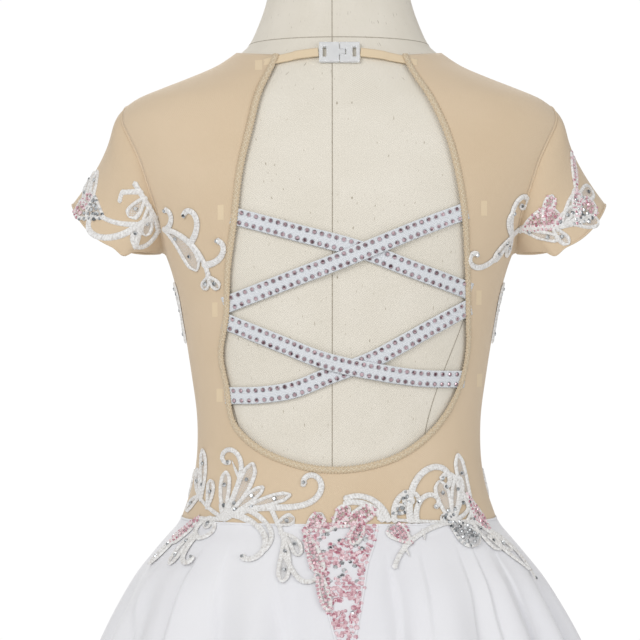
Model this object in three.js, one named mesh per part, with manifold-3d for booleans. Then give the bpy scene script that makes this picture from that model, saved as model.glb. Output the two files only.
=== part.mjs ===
// A lyrical dance dress on a dress form: long white skirt with a dropped waist,
// skin-coloured stretch mesh bodice with an open back crossed by four jewelled
// straps, short cap sleeves, and corded lace at the waist and the shoulders.
// Millimetres, +Z up. The origin is the middle of the stand's underside.
// Behind is +Y and the wearer's left is +X.
import * as THREE from 'three';
import Module from 'manifold-3d';

const wasm = await Module();
wasm.setup();

const DEG = Math.PI / 180;

// Driving sizes
const CLOTH = 1.2;
const CLEAR = 0.35;
const PANEL_LIFT = 1.4;
const PANEL_FACE = PANEL_LIFT + CLOTH;
const SIDE = 89.95;
const WAIST = 980;
const HEM = 360;
const NECK_SEAM = 1373;
const SHOULDER_END = 1328;
const NECKLINE_FRONT = 1330;
const UNDERARM = 1204;
const ARMHOLE = { middle: 1266, tall: 62, back: 50, front: 46, ease: 1.5 };
const STRAP = { wide: 14, thick: 1.2, over: 1.6, short: 0.8 };
const NECK_STRAP_WIDE = 8.5;
const BINDING = { wide: 6.5, thick: 1.1 };
const CLASP = {
  z: 1367.5, half: 16.8, tall: 20, thick: 2.4, corner: 2, slot: 3, slotTall: 10.5, bar: 3,
  tongue: 5, hook: 5,
};
const FOLDS = 18;
const FOLD_TURN = -171;
const CALM = { from: 700, to: 860, turn: 11, most: 0.8 };
const LACE = { lift: PANEL_FACE + 0.85, tall: 1.5, bow: 0.008, root: 2.5, onSleeve: 2.3 };
const BASE = { radius: 190, thick: 14, crown: 18, boss: 22, bossTop: 48 };
const POLE_RADIUS = 12.5;
const FLANGE = { radius: 45, thick: 6 };
const FORM_BOTTOM = 780;
const NECK_TOP = 1455;

function table(names, rows) {
  return rows.map((row) => Object.fromEntries(names.map((name, k) => [name, row[k]])));
}

// The body under the dress, from hip to neck: half width, depth behind and in
// front, and how square each section is (2 is an ellipse).
const BODY = table(['z', 'half', 'back', 'front', 'square'], [
  [780, 158, 112, 92, 2.2],
  [840, 166, 119, 98, 2.2],
  [890, 160, 112, 100, 2.2],
  [930, 149, 100, 99, 2.25],
  [960, 138.5, 90, 97, 2.3],
  [980, 131, 84, 95, 2.3],
  [1005, 122.5, 78, 92, 2.35],
  [1025, 118.7, 74.5, 90.5, 2.35],
  [1046, 117.3, 73, 90, 2.35],
  [1070, 118, 74, 91, 2.35],
  [1100, 122, 77, 94, 2.35],
  [1135, 127.5, 82, 98, 2.35],
  [1165, 133, 87, 103, 2.35],
  [1190, 139.5, 91, 108, 2.35],
  [1210, 147, 93.5, 109, 2.35],
  [1235, 160, 95, 106, 2.35],
  [1262, 175, 94, 98, 2.35],
  [1288, 184.5, 90, 87, 2.35],
  [1306, 188, 86, 79, 2.35],
  [1316, 186.5, 83, 74, 2.35],
  [1325, 180, 80, 70, 2.3],
  [1333, 169, 76.5, 66, 2.3],
  [1341, 150, 73, 63, 2.25],
  [1350, 127, 69, 60, 2.2],
  [1360, 104, 64, 57.5, 2.15],
  [1372, 86, 57, 57.2, 2.1],
  [1380, 77, 53, 58, 2.05],
  [1400, 67.5, 45, 59.3, 2],
  [1420, 61, 41, 61, 2],
  [1440, 58.5, 40.3, 61.6, 2],
  [1455, 58, 40, 62, 2],
]);
const BUST = { apart: 70, z: 1205, deep: 15, spread: 39 };

// The skirt, from hem to waist seam, with how deep its folds are.
const SKIRT = table(['z', 'half', 'back', 'front', 'square', 'fold'], [
  [360, 350, 314, 316, 2.05, 17],
  [500, 323, 285, 287, 2.05, 16],
  [600, 296, 256, 258, 2.05, 15],
  [700, 264, 222, 224, 2.1, 14],
  [800, 227, 182, 185, 2.15, 12],
  [876, 194, 148, 152, 2.2, 8.5],
  [900, 184, 136, 141, 2.2, 6],
  [930, 169, 121, 126, 2.25, 2.6],
  [950, 154.5, 107, 113, 2.25, 1.1],
  [964, 143, 97, 103.5, 2.3, 0.4],
  [972, 136, 90, 98.5, 2.3, 0.1],
  [980, 131, 84, 95, 2.3, 0],
]);

// The pointed insert behind, below the waist seam: half its width at each height.
const INSERT = table(['z', 'half', 'middle'], [
  [866, 0.1, -4],
  [870, 1.4, -4],
  [891, 6.8, -3.7],
  [918, 13.5, -3],
  [936, 17, -2.7],
  [951, 20, -2.5],
  [964, 25, -2],
  [980, 29, -1.5],
]);
const INSERT_TIP = 870;

// The open back's edge on each side, from the neck down to the middle.
const KEYHOLE_LEFT = table(['x', 'z'], [
  [51.5, 1366],
  [54.5, 1358],
  [65.4, 1334],
  [72.6, 1305],
  [80.4, 1271],
  [85.5, 1226],
  [90.4, 1188],
  [91.5, 1153],
  [96.2, 1118],
  [91.8, 1094],
  [84.9, 1061],
  [65.2, 1042],
  [44.8, 1032.4],
  [24.4, 1026.8],
  [0, 1025],
]);
const KEYHOLE_RIGHT = table(['x', 'z'], [
  [-53.5, 1366],
  [-56.6, 1358],
  [-75.1, 1327],
  [-88.6, 1296],
  [-95.1, 1271],
  [-99.8, 1244],
  [-103.3, 1197],
  [-104.5, 1150],
  [-104.6, 1124],
  [-97, 1090.6],
  [-80.1, 1061.6],
  [-67.6, 1049],
  [-50, 1037],
  [-28, 1029],
  [0, 1025],
]);

const MATERIALS = {
  mesh: { color: 0xe0cdb2, roughness: 0.85 },
  binding: { color: 0xe6d2a8, roughness: 0.9 },
  chiffon: { color: 0xebebf0, roughness: 0.8 },
  lace: { color: 0xf4f3f0, roughness: 0.7 },
  strap: { color: 0xd8bcc4, roughness: 0.35 },
  insert: { color: 0xe6c6cb, roughness: 0.4 },
  clasp: { color: 0xe8ebec, roughness: 0.15 },
  canvas: { color: 0xdfdacd, roughness: 0.95 },
  metal: { color: 0xb9bcc0, roughness: 0.35, metalness: 0.9 },
};

const group = new THREE.Group();

function mix(from, to, share) {
  return from + (to - from) * share;
}

// A smooth reading of one column of a table by height.
function track(rows, key) {
  const slopes = rows.map((row, k) => {
    const low = rows[Math.max(k - 1, 0)];
    const high = rows[Math.min(k + 1, rows.length - 1)];
    return (high[key] - low[key]) / (high.z - low.z);
  });
  return (z) => {
    const height = Math.min(Math.max(z, rows[0].z), rows[rows.length - 1].z);
    let k = 0;
    while (k < rows.length - 2 && rows[k + 1].z < height) {
      k += 1;
    }
    const span = rows[k + 1].z - rows[k].z;
    const t = (height - rows[k].z) / span;
    const rise = t * t * (3 - 2 * t);
    const ease = t * (1 - t);
    return mix(rows[k][key], rows[k + 1][key], rise)
      + span * ease * ((1 - t) * slopes[k] - t * slopes[k + 1]);
  };
}

function sectionsOf(rows) {
  const names = Object.keys(rows[0]).filter((name) => name !== 'z');
  return Object.fromEntries(names.map((name) => [name, track(rows, name)]));
}

const bodySize = sectionsOf(BODY);
const skirtSize = sectionsOf(SKIRT);
const insertSize = sectionsOf(INSERT);

// A point of a squared ellipse. Turn 0 is the middle behind, 90 the wearer's left.
function section(size, turn, z) {
  const sine = Math.sin(turn * DEG);
  const cosine = Math.cos(turn * DEG);
  const power = 2 / size.square(z);
  const depth = cosine > 0 ? size.back(z) : size.front(z);
  const x = size.half(z) * Math.sign(sine) * Math.abs(sine) ** power;
  const y = depth * Math.sign(cosine) * Math.abs(cosine) ** power;
  return new THREE.Vector3(x, y, z);
}

function body(turn, z) {
  const point = section(bodySize, turn, z);
  const cosine = Math.cos(turn * DEG);
  if (cosine < 0) {
    for (const x of [-BUST.apart, BUST.apart]) {
      const away = (point.x - x) ** 2 + (z - BUST.z) ** 2;
      point.y -= BUST.deep * cosine ** 2 * Math.exp(-away / (2 * BUST.spread ** 2));
    }
  }
  return point;
}

// Uneven folds all round the skirt, shallow over the pointed insert.
function foldAt(turn, z) {
  const lap = turn + 7 * Math.sin((2 * turn + 40) * DEG) + 4 * Math.sin(5 * turn * DEG);
  const wave = Math.cos((FOLDS * lap + FOLD_TURN) * DEG);
  const uneven = 1 + 0.3 * Math.sin((3 * turn + 25) * DEG);
  const near = Math.min(Math.max((z - CALM.from) / (CALM.to - CALM.from), 0), 1);
  const calm = 1 - CALM.most * near * near * (3 - 2 * near) * Math.exp(-((turn / CALM.turn) ** 2));
  return skirtSize.fold(z) * wave * uneven * calm;
}

function skirt(turn, z) {
  const point = section(skirtSize, turn, z);
  const depth = point.y > 0 ? skirtSize.back(z) : skirtSize.front(z);
  const out = new THREE.Vector3(point.x / skirtSize.half(z) ** 2, point.y / depth ** 2, 0);
  return point.addScaledVector(out.normalize(), foldAt(turn, z));
}

function cloth(turn, z) {
  return z >= WAIST ? body(turn, z) : skirt(turn, z);
}

function outward(surface, turn, z) {
  const across = surface(turn + 0.6, z).sub(surface(turn - 0.6, z));
  const up = surface(turn, z + 1.5).sub(surface(turn, z - 1.5));
  return up.cross(across).normalize();
}

function lifted(surface, turn, z, lift) {
  return surface(turn, z).addScaledVector(outward(surface, turn, z), lift);
}

// The turn at which a surface behind the body reaches a given x, or depth y.
function turnAtX(size, x, z) {
  const share = Math.min(Math.abs(x) / size.half(z), 1);
  return Math.sign(x) * Math.asin(share ** (size.square(z) / 2)) / DEG;
}

function turnAtY(size, y, z) {
  const depth = y > 0 ? size.back(z) : size.front(z);
  const turn = Math.acos((Math.abs(y) / depth) ** (size.square(z) / 2)) / DEG;
  return y > 0 ? Math.min(turn, SIDE) : Math.max(180 - turn, 180 - SIDE);
}

// Adds a closed mesh of loose corners and faces, with its faces turned outward.
function add(name, look, points, faces) {
  let volume = 0;
  for (const [a, b, c] of faces) {
    volume += points[a].dot(points[b].clone().cross(points[c]));
  }
  const flat = new Float32Array(points.length * 3);
  points.forEach((point, k) => point.toArray(flat, k * 3));
  const order = faces.flatMap(([a, b, c]) => (volume > 0 ? [a, b, c] : [a, c, b]));
  const geometry = new THREE.BufferGeometry();
  geometry.setAttribute('position', new THREE.BufferAttribute(flat, 3));
  geometry.setIndex(order);
  geometry.computeVertexNormals();
  addGeometry(name, look, geometry);
}

function addGeometry(name, look, geometry) {
  const material = new THREE.MeshStandardMaterial(MATERIALS[look]);
  const mesh = new THREE.Mesh(geometry, material);
  mesh.name = name;
  group.add(mesh);
}

// A cloth wall between an inner and an outer net of points.
function wall(name, look, columns, rows, round, at) {
  const across = round ? columns : columns + 1;
  const points = [];
  const faces = [];
  for (const face of [0, 1]) {
    for (let j = 0; j <= rows; j += 1) {
      for (let i = 0; i < across; i += 1) {
        points.push(at(i, j, face));
      }
    }
  }
  const spot = (i, j, face) => (face * (rows + 1) + j) * across + (i % across);
  const quad = (a, b, c, d) => faces.push([a, b, c], [a, c, d]);
  for (let i = 0; i < columns; i += 1) {
    const n = i + 1;
    for (let j = 0; j < rows; j += 1) {
      quad(spot(i, j, 1), spot(n, j, 1), spot(n, j + 1, 1), spot(i, j + 1, 1));
      quad(spot(i, j, 0), spot(i, j + 1, 0), spot(n, j + 1, 0), spot(n, j, 0));
    }
    quad(spot(i, 0, 0), spot(n, 0, 0), spot(n, 0, 1), spot(i, 0, 1));
    quad(spot(i, rows, 1), spot(n, rows, 1), spot(n, rows, 0), spot(i, rows, 0));
  }
  if (!round) {
    for (let j = 0; j < rows; j += 1) {
      const m = j + 1;
      quad(spot(0, j, 0), spot(0, j, 1), spot(0, m, 1), spot(0, m, 0));
      quad(spot(columns, j, 1), spot(columns, j, 0), spot(columns, m, 0), spot(columns, m, 1));
    }
  }
  add(name, look, points, faces);
}

// A solid of stacked rings, closed by flat ends.
function stack(name, look, columns, levels, at) {
  const points = [];
  const faces = [];
  levels.forEach((z) => {
    for (let i = 0; i < columns; i += 1) {
      points.push(at(i * 360 / columns, z));
    }
  });
  const last = (levels.length - 1) * columns;
  const bottom = points.push(new THREE.Vector3(0, 0, levels[0])) - 1;
  const top = points.push(new THREE.Vector3(0, 0, levels[levels.length - 1])) - 1;
  for (let i = 0; i < columns; i += 1) {
    const n = (i + 1) % columns;
    for (let k = 0; k < last; k += columns) {
      faces.push([k + i, k + n, k + columns + n], [k + i, k + columns + n, k + columns + i]);
    }
    faces.push([bottom, n, i], [top, last + i, last + n]);
  }
  add(name, look, points, faces);
}

// The dress form and its stand

const FORM_LEVELS = [780, 830, 880, 920, 952, 980, 1002, 1022, 1046, 1072, 1100, 1127, 1148,
  1168, 1190, 1214, 1240, 1265, 1290, 1308, 1319, 1328, 1336, 1344, 1353, 1364, 1378, 1402,
  NECK_TOP];
stack('form_torso', 'canvas', 28, FORM_LEVELS, body);

function lathe(name, look, sides, profile) {
  const outline = profile.map(([radius, z]) => new THREE.Vector2(radius, z));
  const geometry = new THREE.LatheGeometry(outline, sides);
  geometry.rotateX(Math.PI / 2);
  addGeometry(name, look, geometry);
}

const neckLow = NECK_TOP + CLEAR;
stack('neck_cap', 'canvas', 24, [neckLow, neckLow + 7, neckLow + 11, neckLow + 13], (turn, z) => {
  const rise = (z - neckLow) / 13;
  const shrink = 1 - 0.45 * rise ** 3;
  const point = body(turn, NECK_TOP);
  return new THREE.Vector3(point.x * shrink, point.y * shrink, z);
});

const flangeLow = FORM_BOTTOM - CLEAR - FLANGE.thick;
lathe('stand_flange', 'metal', 24, [
  [0, flangeLow],
  [FLANGE.radius, flangeLow],
  [FLANGE.radius, flangeLow + FLANGE.thick],
  [0, flangeLow + FLANGE.thick],
]);
lathe('stand_pole', 'metal', 16, [
  [0, BASE.bossTop + CLEAR],
  [POLE_RADIUS, BASE.bossTop + CLEAR],
  [POLE_RADIUS, flangeLow - CLEAR],
  [0, flangeLow - CLEAR],
]);
lathe('stand_base', 'metal', 32, [
  [0, 0],
  [BASE.radius, 0],
  [BASE.radius, BASE.thick - 4],
  [BASE.radius - 6, BASE.thick],
  [BASE.boss + 6, BASE.crown],
  [BASE.boss, BASE.crown + 5],
  [BASE.boss, BASE.bossTop],
  [0, BASE.bossTop],
]);

// The bodice panels

function edgeCurve(rows) {
  return new THREE.CatmullRomCurve3(rows.map((row) => new THREE.Vector3(row.x, 0, row.z)));
}
const keyholeLeft = edgeCurve(KEYHOLE_LEFT);
const keyholeRight = edgeCurve(KEYHOLE_RIGHT);
const leftEdgeX = track([...KEYHOLE_LEFT].reverse(), 'x');
const rightEdgeX = track([...KEYHOLE_RIGHT].reverse(), 'x');

function armholeAt(angle, ease) {
  const deep = Math.sin(angle * DEG) > 0 ? ARMHOLE.back : ARMHOLE.front;
  const y = (deep - ease) * Math.sin(angle * DEG);
  const z = ARMHOLE.middle + (ARMHOLE.tall - ease) * Math.cos(angle * DEG);
  return { turn: turnAtY(bodySize, y, z), z };
}

const BACK_EDGES = [
  { from: 0, to: 0.09, steps: 5, at: (f) => ({ turn: SIDE, z: mix(NECK_SEAM, SHOULDER_END, f) }) },
  { from: 0.09, to: 0.4, steps: 12, at: (f) => armholeAt(180 * f, 0) },
  { from: 0.4, to: 0.72, steps: 9, at: (f) => ({ turn: SIDE, z: mix(UNDERARM, WAIST + 0.2, f) }) },
  { from: 0.72, to: 1, steps: 10, at: (f) => ({ turn: mix(SIDE, 0, f), z: WAIST + 0.2 }) },
];

function backHalf(curve, side) {
  const columns = [];
  for (const edge of BACK_EDGES) {
    for (let k = 0; k < edge.steps; k += 1) {
      columns.push({ share: mix(edge.from, edge.to, k / edge.steps), edge, f: k / edge.steps });
    }
  }
  columns.push({ share: 1, edge: BACK_EDGES[3], f: 1 });
  return columns.map(({ share, edge, f }) => {
    const inner = curve.getPointAt(share);
    const outer = edge.at(f);
    return {
      inner: { turn: turnAtX(bodySize, inner.x, inner.z), z: inner.z },
      outer: { turn: side * outer.turn, z: outer.z },
    };
  });
}

const backColumns = [
  ...backHalf(keyholeLeft, 1),
  ...backHalf(keyholeRight, -1).reverse().slice(1),
];
const BACK_SHARES = [0, 0.2, 0.4, 0.58, 0.74, 0.88, 1];
wall('back_panel', 'mesh', backColumns.length - 1, BACK_SHARES.length - 1, false, (i, j, face) => {
  const { inner, outer } = backColumns[i];
  const turn = mix(inner.turn, outer.turn, BACK_SHARES[j]);
  const z = mix(inner.z, outer.z, BACK_SHARES[j]);
  return lifted(body, turn, z, PANEL_LIFT + face * CLOTH);
});

// The front is one piece between the side seams, blended from its four edges.
const FRONT_EDGES = [
  { from: 0, to: 0.5, steps: 7, at: (f) => ({ turn: 90.05, z: mix(WAIST + 0.2, UNDERARM, f) }) },
  { from: 0.5, to: 0.84, steps: 12, at: (f) => armholeAt(-180 + 180 * f, 0) },
  { from: 0.84, to: 1, steps: 5, at: (f) => ({ turn: 90.05, z: mix(SHOULDER_END, NECK_SEAM, f) }) },
];
const FRONT_SHARES = [0, 0.02, 0.055, 0.1, 0.155, 0.22, 0.29, 0.36, 0.43, 0.5];

const frontRows = FRONT_EDGES.flatMap(({ from, to, steps, at }) => (
  Array.from({ length: steps }, (_, k) => ({ v: mix(from, to, k / steps), side: at(k / steps) }))
));
frontRows.push({ v: 1, side: FRONT_EDGES[2].at(1) });
const frontColumns = [...FRONT_SHARES, ...FRONT_SHARES.slice(0, -1).reverse().map((u) => 1 - u)];
wall('front_panel', 'mesh', frontColumns.length - 1, frontRows.length - 1, false, (i, j, face) => {
  const u = frontColumns[i];
  const { v, side } = frontRows[j];
  const dip = (NECK_SEAM - NECKLINE_FRONT) * Math.sin(Math.PI * u) ** 1.4;
  const turn = mix(side.turn, 360 - side.turn, u);
  return lifted(body, turn, side.z - dip * v ** 2, PANEL_LIFT + face * CLOTH);
});

// The cap sleeves spring from the armhole and stand away from the arm.
function sleevePoint(angle, run) {
  const rim = armholeAt(angle > 180 ? angle - 360 : angle, ARMHOLE.ease);
  const from = lifted(body, rim.turn, rim.z, PANEL_LIFT + CLOTH / 2);
  const sine = Math.sin(angle * DEG);
  const high = (1 + Math.cos(angle * DEG)) / 2;
  const fold = -5 * Math.exp(-(((angle - 106) / 9) ** 2));
  const hem = new THREE.Vector3(189 + 37 * Math.cos(angle * DEG), 52 * sine, 1204.5 + fold);
  hem.z += 41 * high ** 3.2;
  const rise = high ** 1.2;
  const first = new THREE.Vector3(mix(2, 16, rise), 5 * sine, mix(-1, -13, rise)).add(from);
  const lean = high ** 1.5;
  const second = new THREE.Vector3(mix(-2, -42, lean), 0, mix(2, 54, lean)).add(hem);
  return new THREE.CubicBezierCurve3(from, first, second, hem).getPoint(run);
}

function sleeve(angle, run, lift) {
  const low = Math.max(run - 0.03, 0);
  const high = Math.min(run + 0.03, 1);
  const along = sleevePoint(angle, high).sub(sleevePoint(angle, low));
  const turned = (shift) => sleevePoint((angle + shift + 360) % 360, run);
  const around = turned(1.5).sub(turned(-1.5));
  return sleevePoint(angle, run).addScaledVector(along.cross(around).normalize(), lift);
}

const SLEEVE = { columns: 24, rows: 5 };
function mirrored(point, side) {
  return point.setX(point.x * side);
}
const SIDES = [
  { side: 1, word: 'left' },
  { side: -1, word: 'right' },
];
for (const { side, word } of SIDES) {
  wall(`sleeve_${word}`, 'mesh', SLEEVE.columns, SLEEVE.rows, true, (i, j, face) => {
    const angle = i * 360 / SLEEVE.columns;
    const point = sleeve(angle, j / SLEEVE.rows, (face - 0.5) * CLOTH);
    return mirrored(point, side);
  });
}

// Straps and the binding are flat ribbons along a path on the body, drawn as
// seen from behind, each point at its x and height.

function onBack(flat) {
  return { turn: turnAtX(bodySize, flat.x, flat.z), z: flat.z };
}

function ribbonPoint(at, share, beside, lift) {
  const place = (s) => {
    const { turn, z } = onBack(at(Math.min(Math.max(s, 0), 1)));
    return body(turn, z);
  };
  const { turn, z } = onBack(at(share));
  const normal = outward(body, turn, z);
  const ahead = place(share + 0.005).sub(place(share - 0.005));
  const across = ahead.cross(normal).normalize();
  return body(turn, z).addScaledVector(across, beside).addScaledVector(normal, lift);
}

const bindingCurve = new THREE.CatmullRomCurve3([
  ...KEYHOLE_LEFT,
  ...KEYHOLE_RIGHT.slice(0, -1).reverse(),
].map((row) => new THREE.Vector3(row.x, 0, row.z)));
const BINDING_STEPS = 60;
wall('keyhole_binding', 'binding', BINDING_STEPS, 1, false, (i, j, face) => {
  const at = (s) => bindingCurve.getPointAt(s);
  const lift = PANEL_FACE + CLEAR + face * BINDING.thick;
  return ribbonPoint(at, i / BINDING_STEPS, (j - 0.5) * BINDING.wide, lift);
});

// A strap runs across the open back and stops at the panel's edge on each side.
function strap(name, look, wide, steps, rows, over) {
  const curve = new THREE.CatmullRomCurve3(rows.map(([x, z]) => new THREE.Vector3(x, 0, z)));
  const at = (s) => curve.getPointAt(s);
  const reach = [-wide / 2, wide / 2].map((beside) => {
    const open = [];
    for (let k = 0; k <= 300; k += 1) {
      const { x, z } = ribbonPoint(at, k / 300, beside, PANEL_LIFT);
      if (x < leftEdgeX(z) - STRAP.short && x > rightEdgeX(z) + STRAP.short) {
        open.push(k / 300);
      }
    }
    return [open[0], open[open.length - 1]];
  });
  wall(name, look, steps, 1, false, (i, j, face) => {
    const s = mix(reach[j][0], reach[j][1], i / steps);
    const away = Math.abs(at(s).x - over.x);
    const near = Math.min(Math.max((over.end - away) / (over.end - over.flat), 0), 1);
    const raise = over.lift * near * near * (3 - 2 * near);
    return ribbonPoint(at, s, (j - 0.5) * wide, PANEL_LIFT + raise + face * STRAP.thick);
  });
}

const FLAT = { x: 0, flat: 1, end: 2, lift: 0 };
strap('back_strap_upper_a', 'strap', STRAP.wide, 24, [
  [96, 1235.6], [84.5, 1232.5], [35, 1219], [-16, 1205.4], [-60, 1189], [-101, 1174], [-114, 1169],
], FLAT);
strap('back_strap_upper_b', 'strap', STRAP.wide, 28, [
  [104, 1156.2], [90, 1161.6], [40, 1181], [-16, 1203], [-60, 1221], [-99, 1236], [-112, 1241],
], { x: -15, flat: 27, end: 46, lift: STRAP.over });
strap('back_strap_lower_a', 'strap', STRAP.wide, 28, [
  [102, 1151], [88.6, 1145.5], [51.7, 1130.4], [10.7, 1114.9], [-30, 1106], [-65.4, 1100.5],
  [-99, 1099.3], [-112, 1099],
], { x: -9, flat: 30, end: 50, lift: STRAP.over });
strap('back_strap_lower_b', 'strap', STRAP.wide, 24, [
  [104, 1085.4], [88.3, 1085.8], [65.2, 1086.6], [38, 1091], [10.8, 1101.8], [-30, 1117.5],
  [-50, 1128.3], [-75.1, 1142.5], [-102, 1157], [-114, 1163],
], FLAT);
strap('neck_strap_left', 'binding', NECK_STRAP_WIDE, 10, [
  [62, 1359.4], [51, 1361.8], [35, 1365], [CLASP.half + CLEAR, 1367.3],
], FLAT);
strap('neck_strap_right', 'binding', NECK_STRAP_WIDE, 10, [
  [-CLASP.half - CLEAR, 1367.3], [-35, 1365], [-53, 1361.8], [-64, 1359.4],
], FLAT);

// The clasp is two clear plates, one with a tongue that hooks into the other.
function claspPlate(name, side) {
  const shape = new THREE.Shape();
  const inner = CLEAR / 2;
  const tall = CLASP.tall / 2;
  const notch = CLASP.tongue / 2 + (side > 0 ? 0 : CLEAR);
  const reach = side > 0 ? inner - CLASP.hook : inner + CLASP.hook + CLEAR;
  const across = (x) => (side > 0 ? x : -x);
  const cut = CLASP.half - CLASP.corner;
  const corners = [
    [inner, -tall], [cut, -tall], [CLASP.half, -tall + CLASP.corner],
    [CLASP.half, tall - CLASP.corner], [cut, tall], [inner, tall], [inner, notch],
    [reach, notch], [reach, -notch], [inner, -notch],
  ];
  corners.forEach(([x, y], k) => (k ? shape.lineTo(across(x), y) : shape.moveTo(across(x), y)));
  const slot = new THREE.Path();
  const slotX = CLASP.half - CLASP.bar - CLASP.slot;
  const half = CLASP.slotTall / 2;
  slot.moveTo(across(slotX), -half);
  slot.lineTo(across(slotX), half);
  slot.lineTo(across(slotX + CLASP.slot), half);
  slot.lineTo(across(slotX + CLASP.slot), -half);
  shape.holes.push(slot);
  const geometry = new THREE.ExtrudeGeometry(shape, { depth: CLASP.thick, bevelEnabled: false });
  const normal = outward(body, 0, CLASP.z);
  const across3d = new THREE.Vector3(1, 0, 0);
  const place = new THREE.Matrix4().makeBasis(across3d, normal.clone().cross(across3d), normal);
  place.setPosition(lifted(body, 0, CLASP.z, PANEL_LIFT - 0.3));
  geometry.applyMatrix4(place);
  addGeometry(name, 'clasp', geometry);
}
claspPlate('clasp_left', 1);
claspPlate('clasp_right', -1);

// The skirt, in a back and a front piece, with the pointed insert behind.

const DROPS = [0, 0.015, 0.04, 0.075, 0.13, 0.22, 0.38, 0.64, 1];
const SKIRT_TOP = WAIST - 0.5;
const SEAM_TURNS = 6;

function insertEdge(side, z, clear) {
  return insertSize.middle(z) + side * Math.max(insertSize.half(z) + clear, 0.3);
}

function topAt(turn) {
  let low = INSERT_TIP - 4;
  let high = SKIRT_TOP;
  const side = turn < turnAtX(skirtSize, insertSize.middle(low), low) ? -1 : 1;
  const inside = (z) => {
    const x = section(skirtSize, turn, z).x;
    return side * (x - insertEdge(side, z, 0)) < 0;
  };
  if (!inside(high)) {
    return high;
  }
  for (let k = 0; k < 40; k += 1) {
    const middle = (low + high) / 2;
    if (inside(middle)) {
      high = middle;
    } else {
      low = middle;
    }
  }
  return low;
}

function backTurns() {
  const reach = turnAtX(skirtSize, insertEdge(1, SKIRT_TOP, 0), SKIRT_TOP);
  const reachRight = turnAtX(skirtSize, insertEdge(-1, SKIRT_TOP, 0), SKIRT_TOP);
  const tip = turnAtX(skirtSize, insertSize.middle(INSERT_TIP), INSERT_TIP);
  const turns = [];
  for (let k = 0; k < 22; k += 1) {
    turns.push(mix(-SIDE, reachRight, k / 22));
  }
  for (let k = 0; k < SEAM_TURNS; k += 1) {
    turns.push(mix(reachRight, tip, k / SEAM_TURNS));
  }
  for (let k = 0; k < SEAM_TURNS; k += 1) {
    turns.push(mix(tip, reach, k / SEAM_TURNS));
  }
  for (let k = 0; k <= 22; k += 1) {
    turns.push(mix(reach, SIDE, k / 22));
  }
  return turns;
}

const skirtBackTurns = backTurns();
wall('skirt_back', 'chiffon', skirtBackTurns.length - 1, DROPS.length - 1, false, (i, j, face) => {
  const turn = skirtBackTurns[i];
  const z = mix(topAt(turn), HEM, DROPS[j]);
  return lifted(cloth, turn, z, PANEL_LIFT + face * CLOTH);
});

const FRONT_FOLDS = 52;
wall('skirt_front', 'chiffon', FRONT_FOLDS, DROPS.length - 1, false, (i, j, face) => {
  const turn = mix(180 - SIDE, 180 + SIDE, i / FRONT_FOLDS);
  const z = mix(SKIRT_TOP, HEM, DROPS[j]);
  return lifted(cloth, turn, z, PANEL_LIFT + face * CLOTH);
});

const INSERT_GRID = { columns: 6, rows: 12 };
wall('waist_point', 'insert', INSERT_GRID.columns, INSERT_GRID.rows, false, (i, j, face) => {
  const z = mix(INSERT_TIP, SKIRT_TOP, j / INSERT_GRID.rows);
  const x = mix(insertEdge(-1, z, -CLEAR - 0.15), insertEdge(1, z, -CLEAR - 0.15), i / INSERT_GRID.columns);
  return lifted(cloth, turnAtX(skirtSize, x, z), z, PANEL_LIFT + face * CLOTH);
});

// Corded lace: each stem, hook and leaf is walked over the cloth from its start.
// Head is its first direction in degrees, 0 to the wearer's right and 90 up, bend
// and curl turn it along its length, and on a sleeve 0 is toward the hem.

function walk(surface, start, stem) {
  const steps = Math.max(4, Math.ceil(stem.length / 15 + Math.abs(stem.curl) / 50));
  const spots = [];
  let { u, v } = start;
  for (let k = 0; k <= steps; k += 1) {
    const share = k / steps;
    const heading = (stem.head + stem.bend * share + stem.curl * share ** 4) * DEG;
    const alongU = surface(u + 0.25, v, 0).sub(surface(u - 0.25, v, 0)).multiplyScalar(2);
    const alongV = surface(u, v + 0.25, 0).sub(surface(u, v - 0.25, 0)).multiplyScalar(2);
    const first = alongU.clone().normalize();
    const second = alongV.clone().addScaledVector(first, -alongV.dot(first)).normalize();
    const ahead = first.clone().multiplyScalar(Math.cos(heading));
    ahead.addScaledVector(second, Math.sin(heading));
    const stepIn = (direction) => {
      const stepV = direction.dot(second) / alongV.dot(second);
      return { u: (direction.dot(first) - stepV * alongV.dot(first)) / alongU.length(), v: stepV };
    };
    const beside = first.clone().multiplyScalar(-Math.sin(heading));
    beside.addScaledVector(second, Math.cos(heading));
    const step = stepIn(ahead);
    if (k === 0) {
      u -= step.u * LACE.root;
      v -= step.v * LACE.root;
    }
    spots.push({ u, v, beside: stepIn(beside) });
    u += step.u * stem.length / steps;
    v += step.v * stem.length / steps;
  }
  return spots;
}

function halfWidth(stem, share) {
  if (stem.kind === 'leaf') {
    return 0.6 + stem.wide / 2 * Math.sin(Math.PI * Math.min(0.1 + 0.9 * share, 1) ** 0.8) ** 0.8;
  }
  return Math.max(stem.wide / 2 * (1 - 0.45 * share), 0.9);
}

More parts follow.
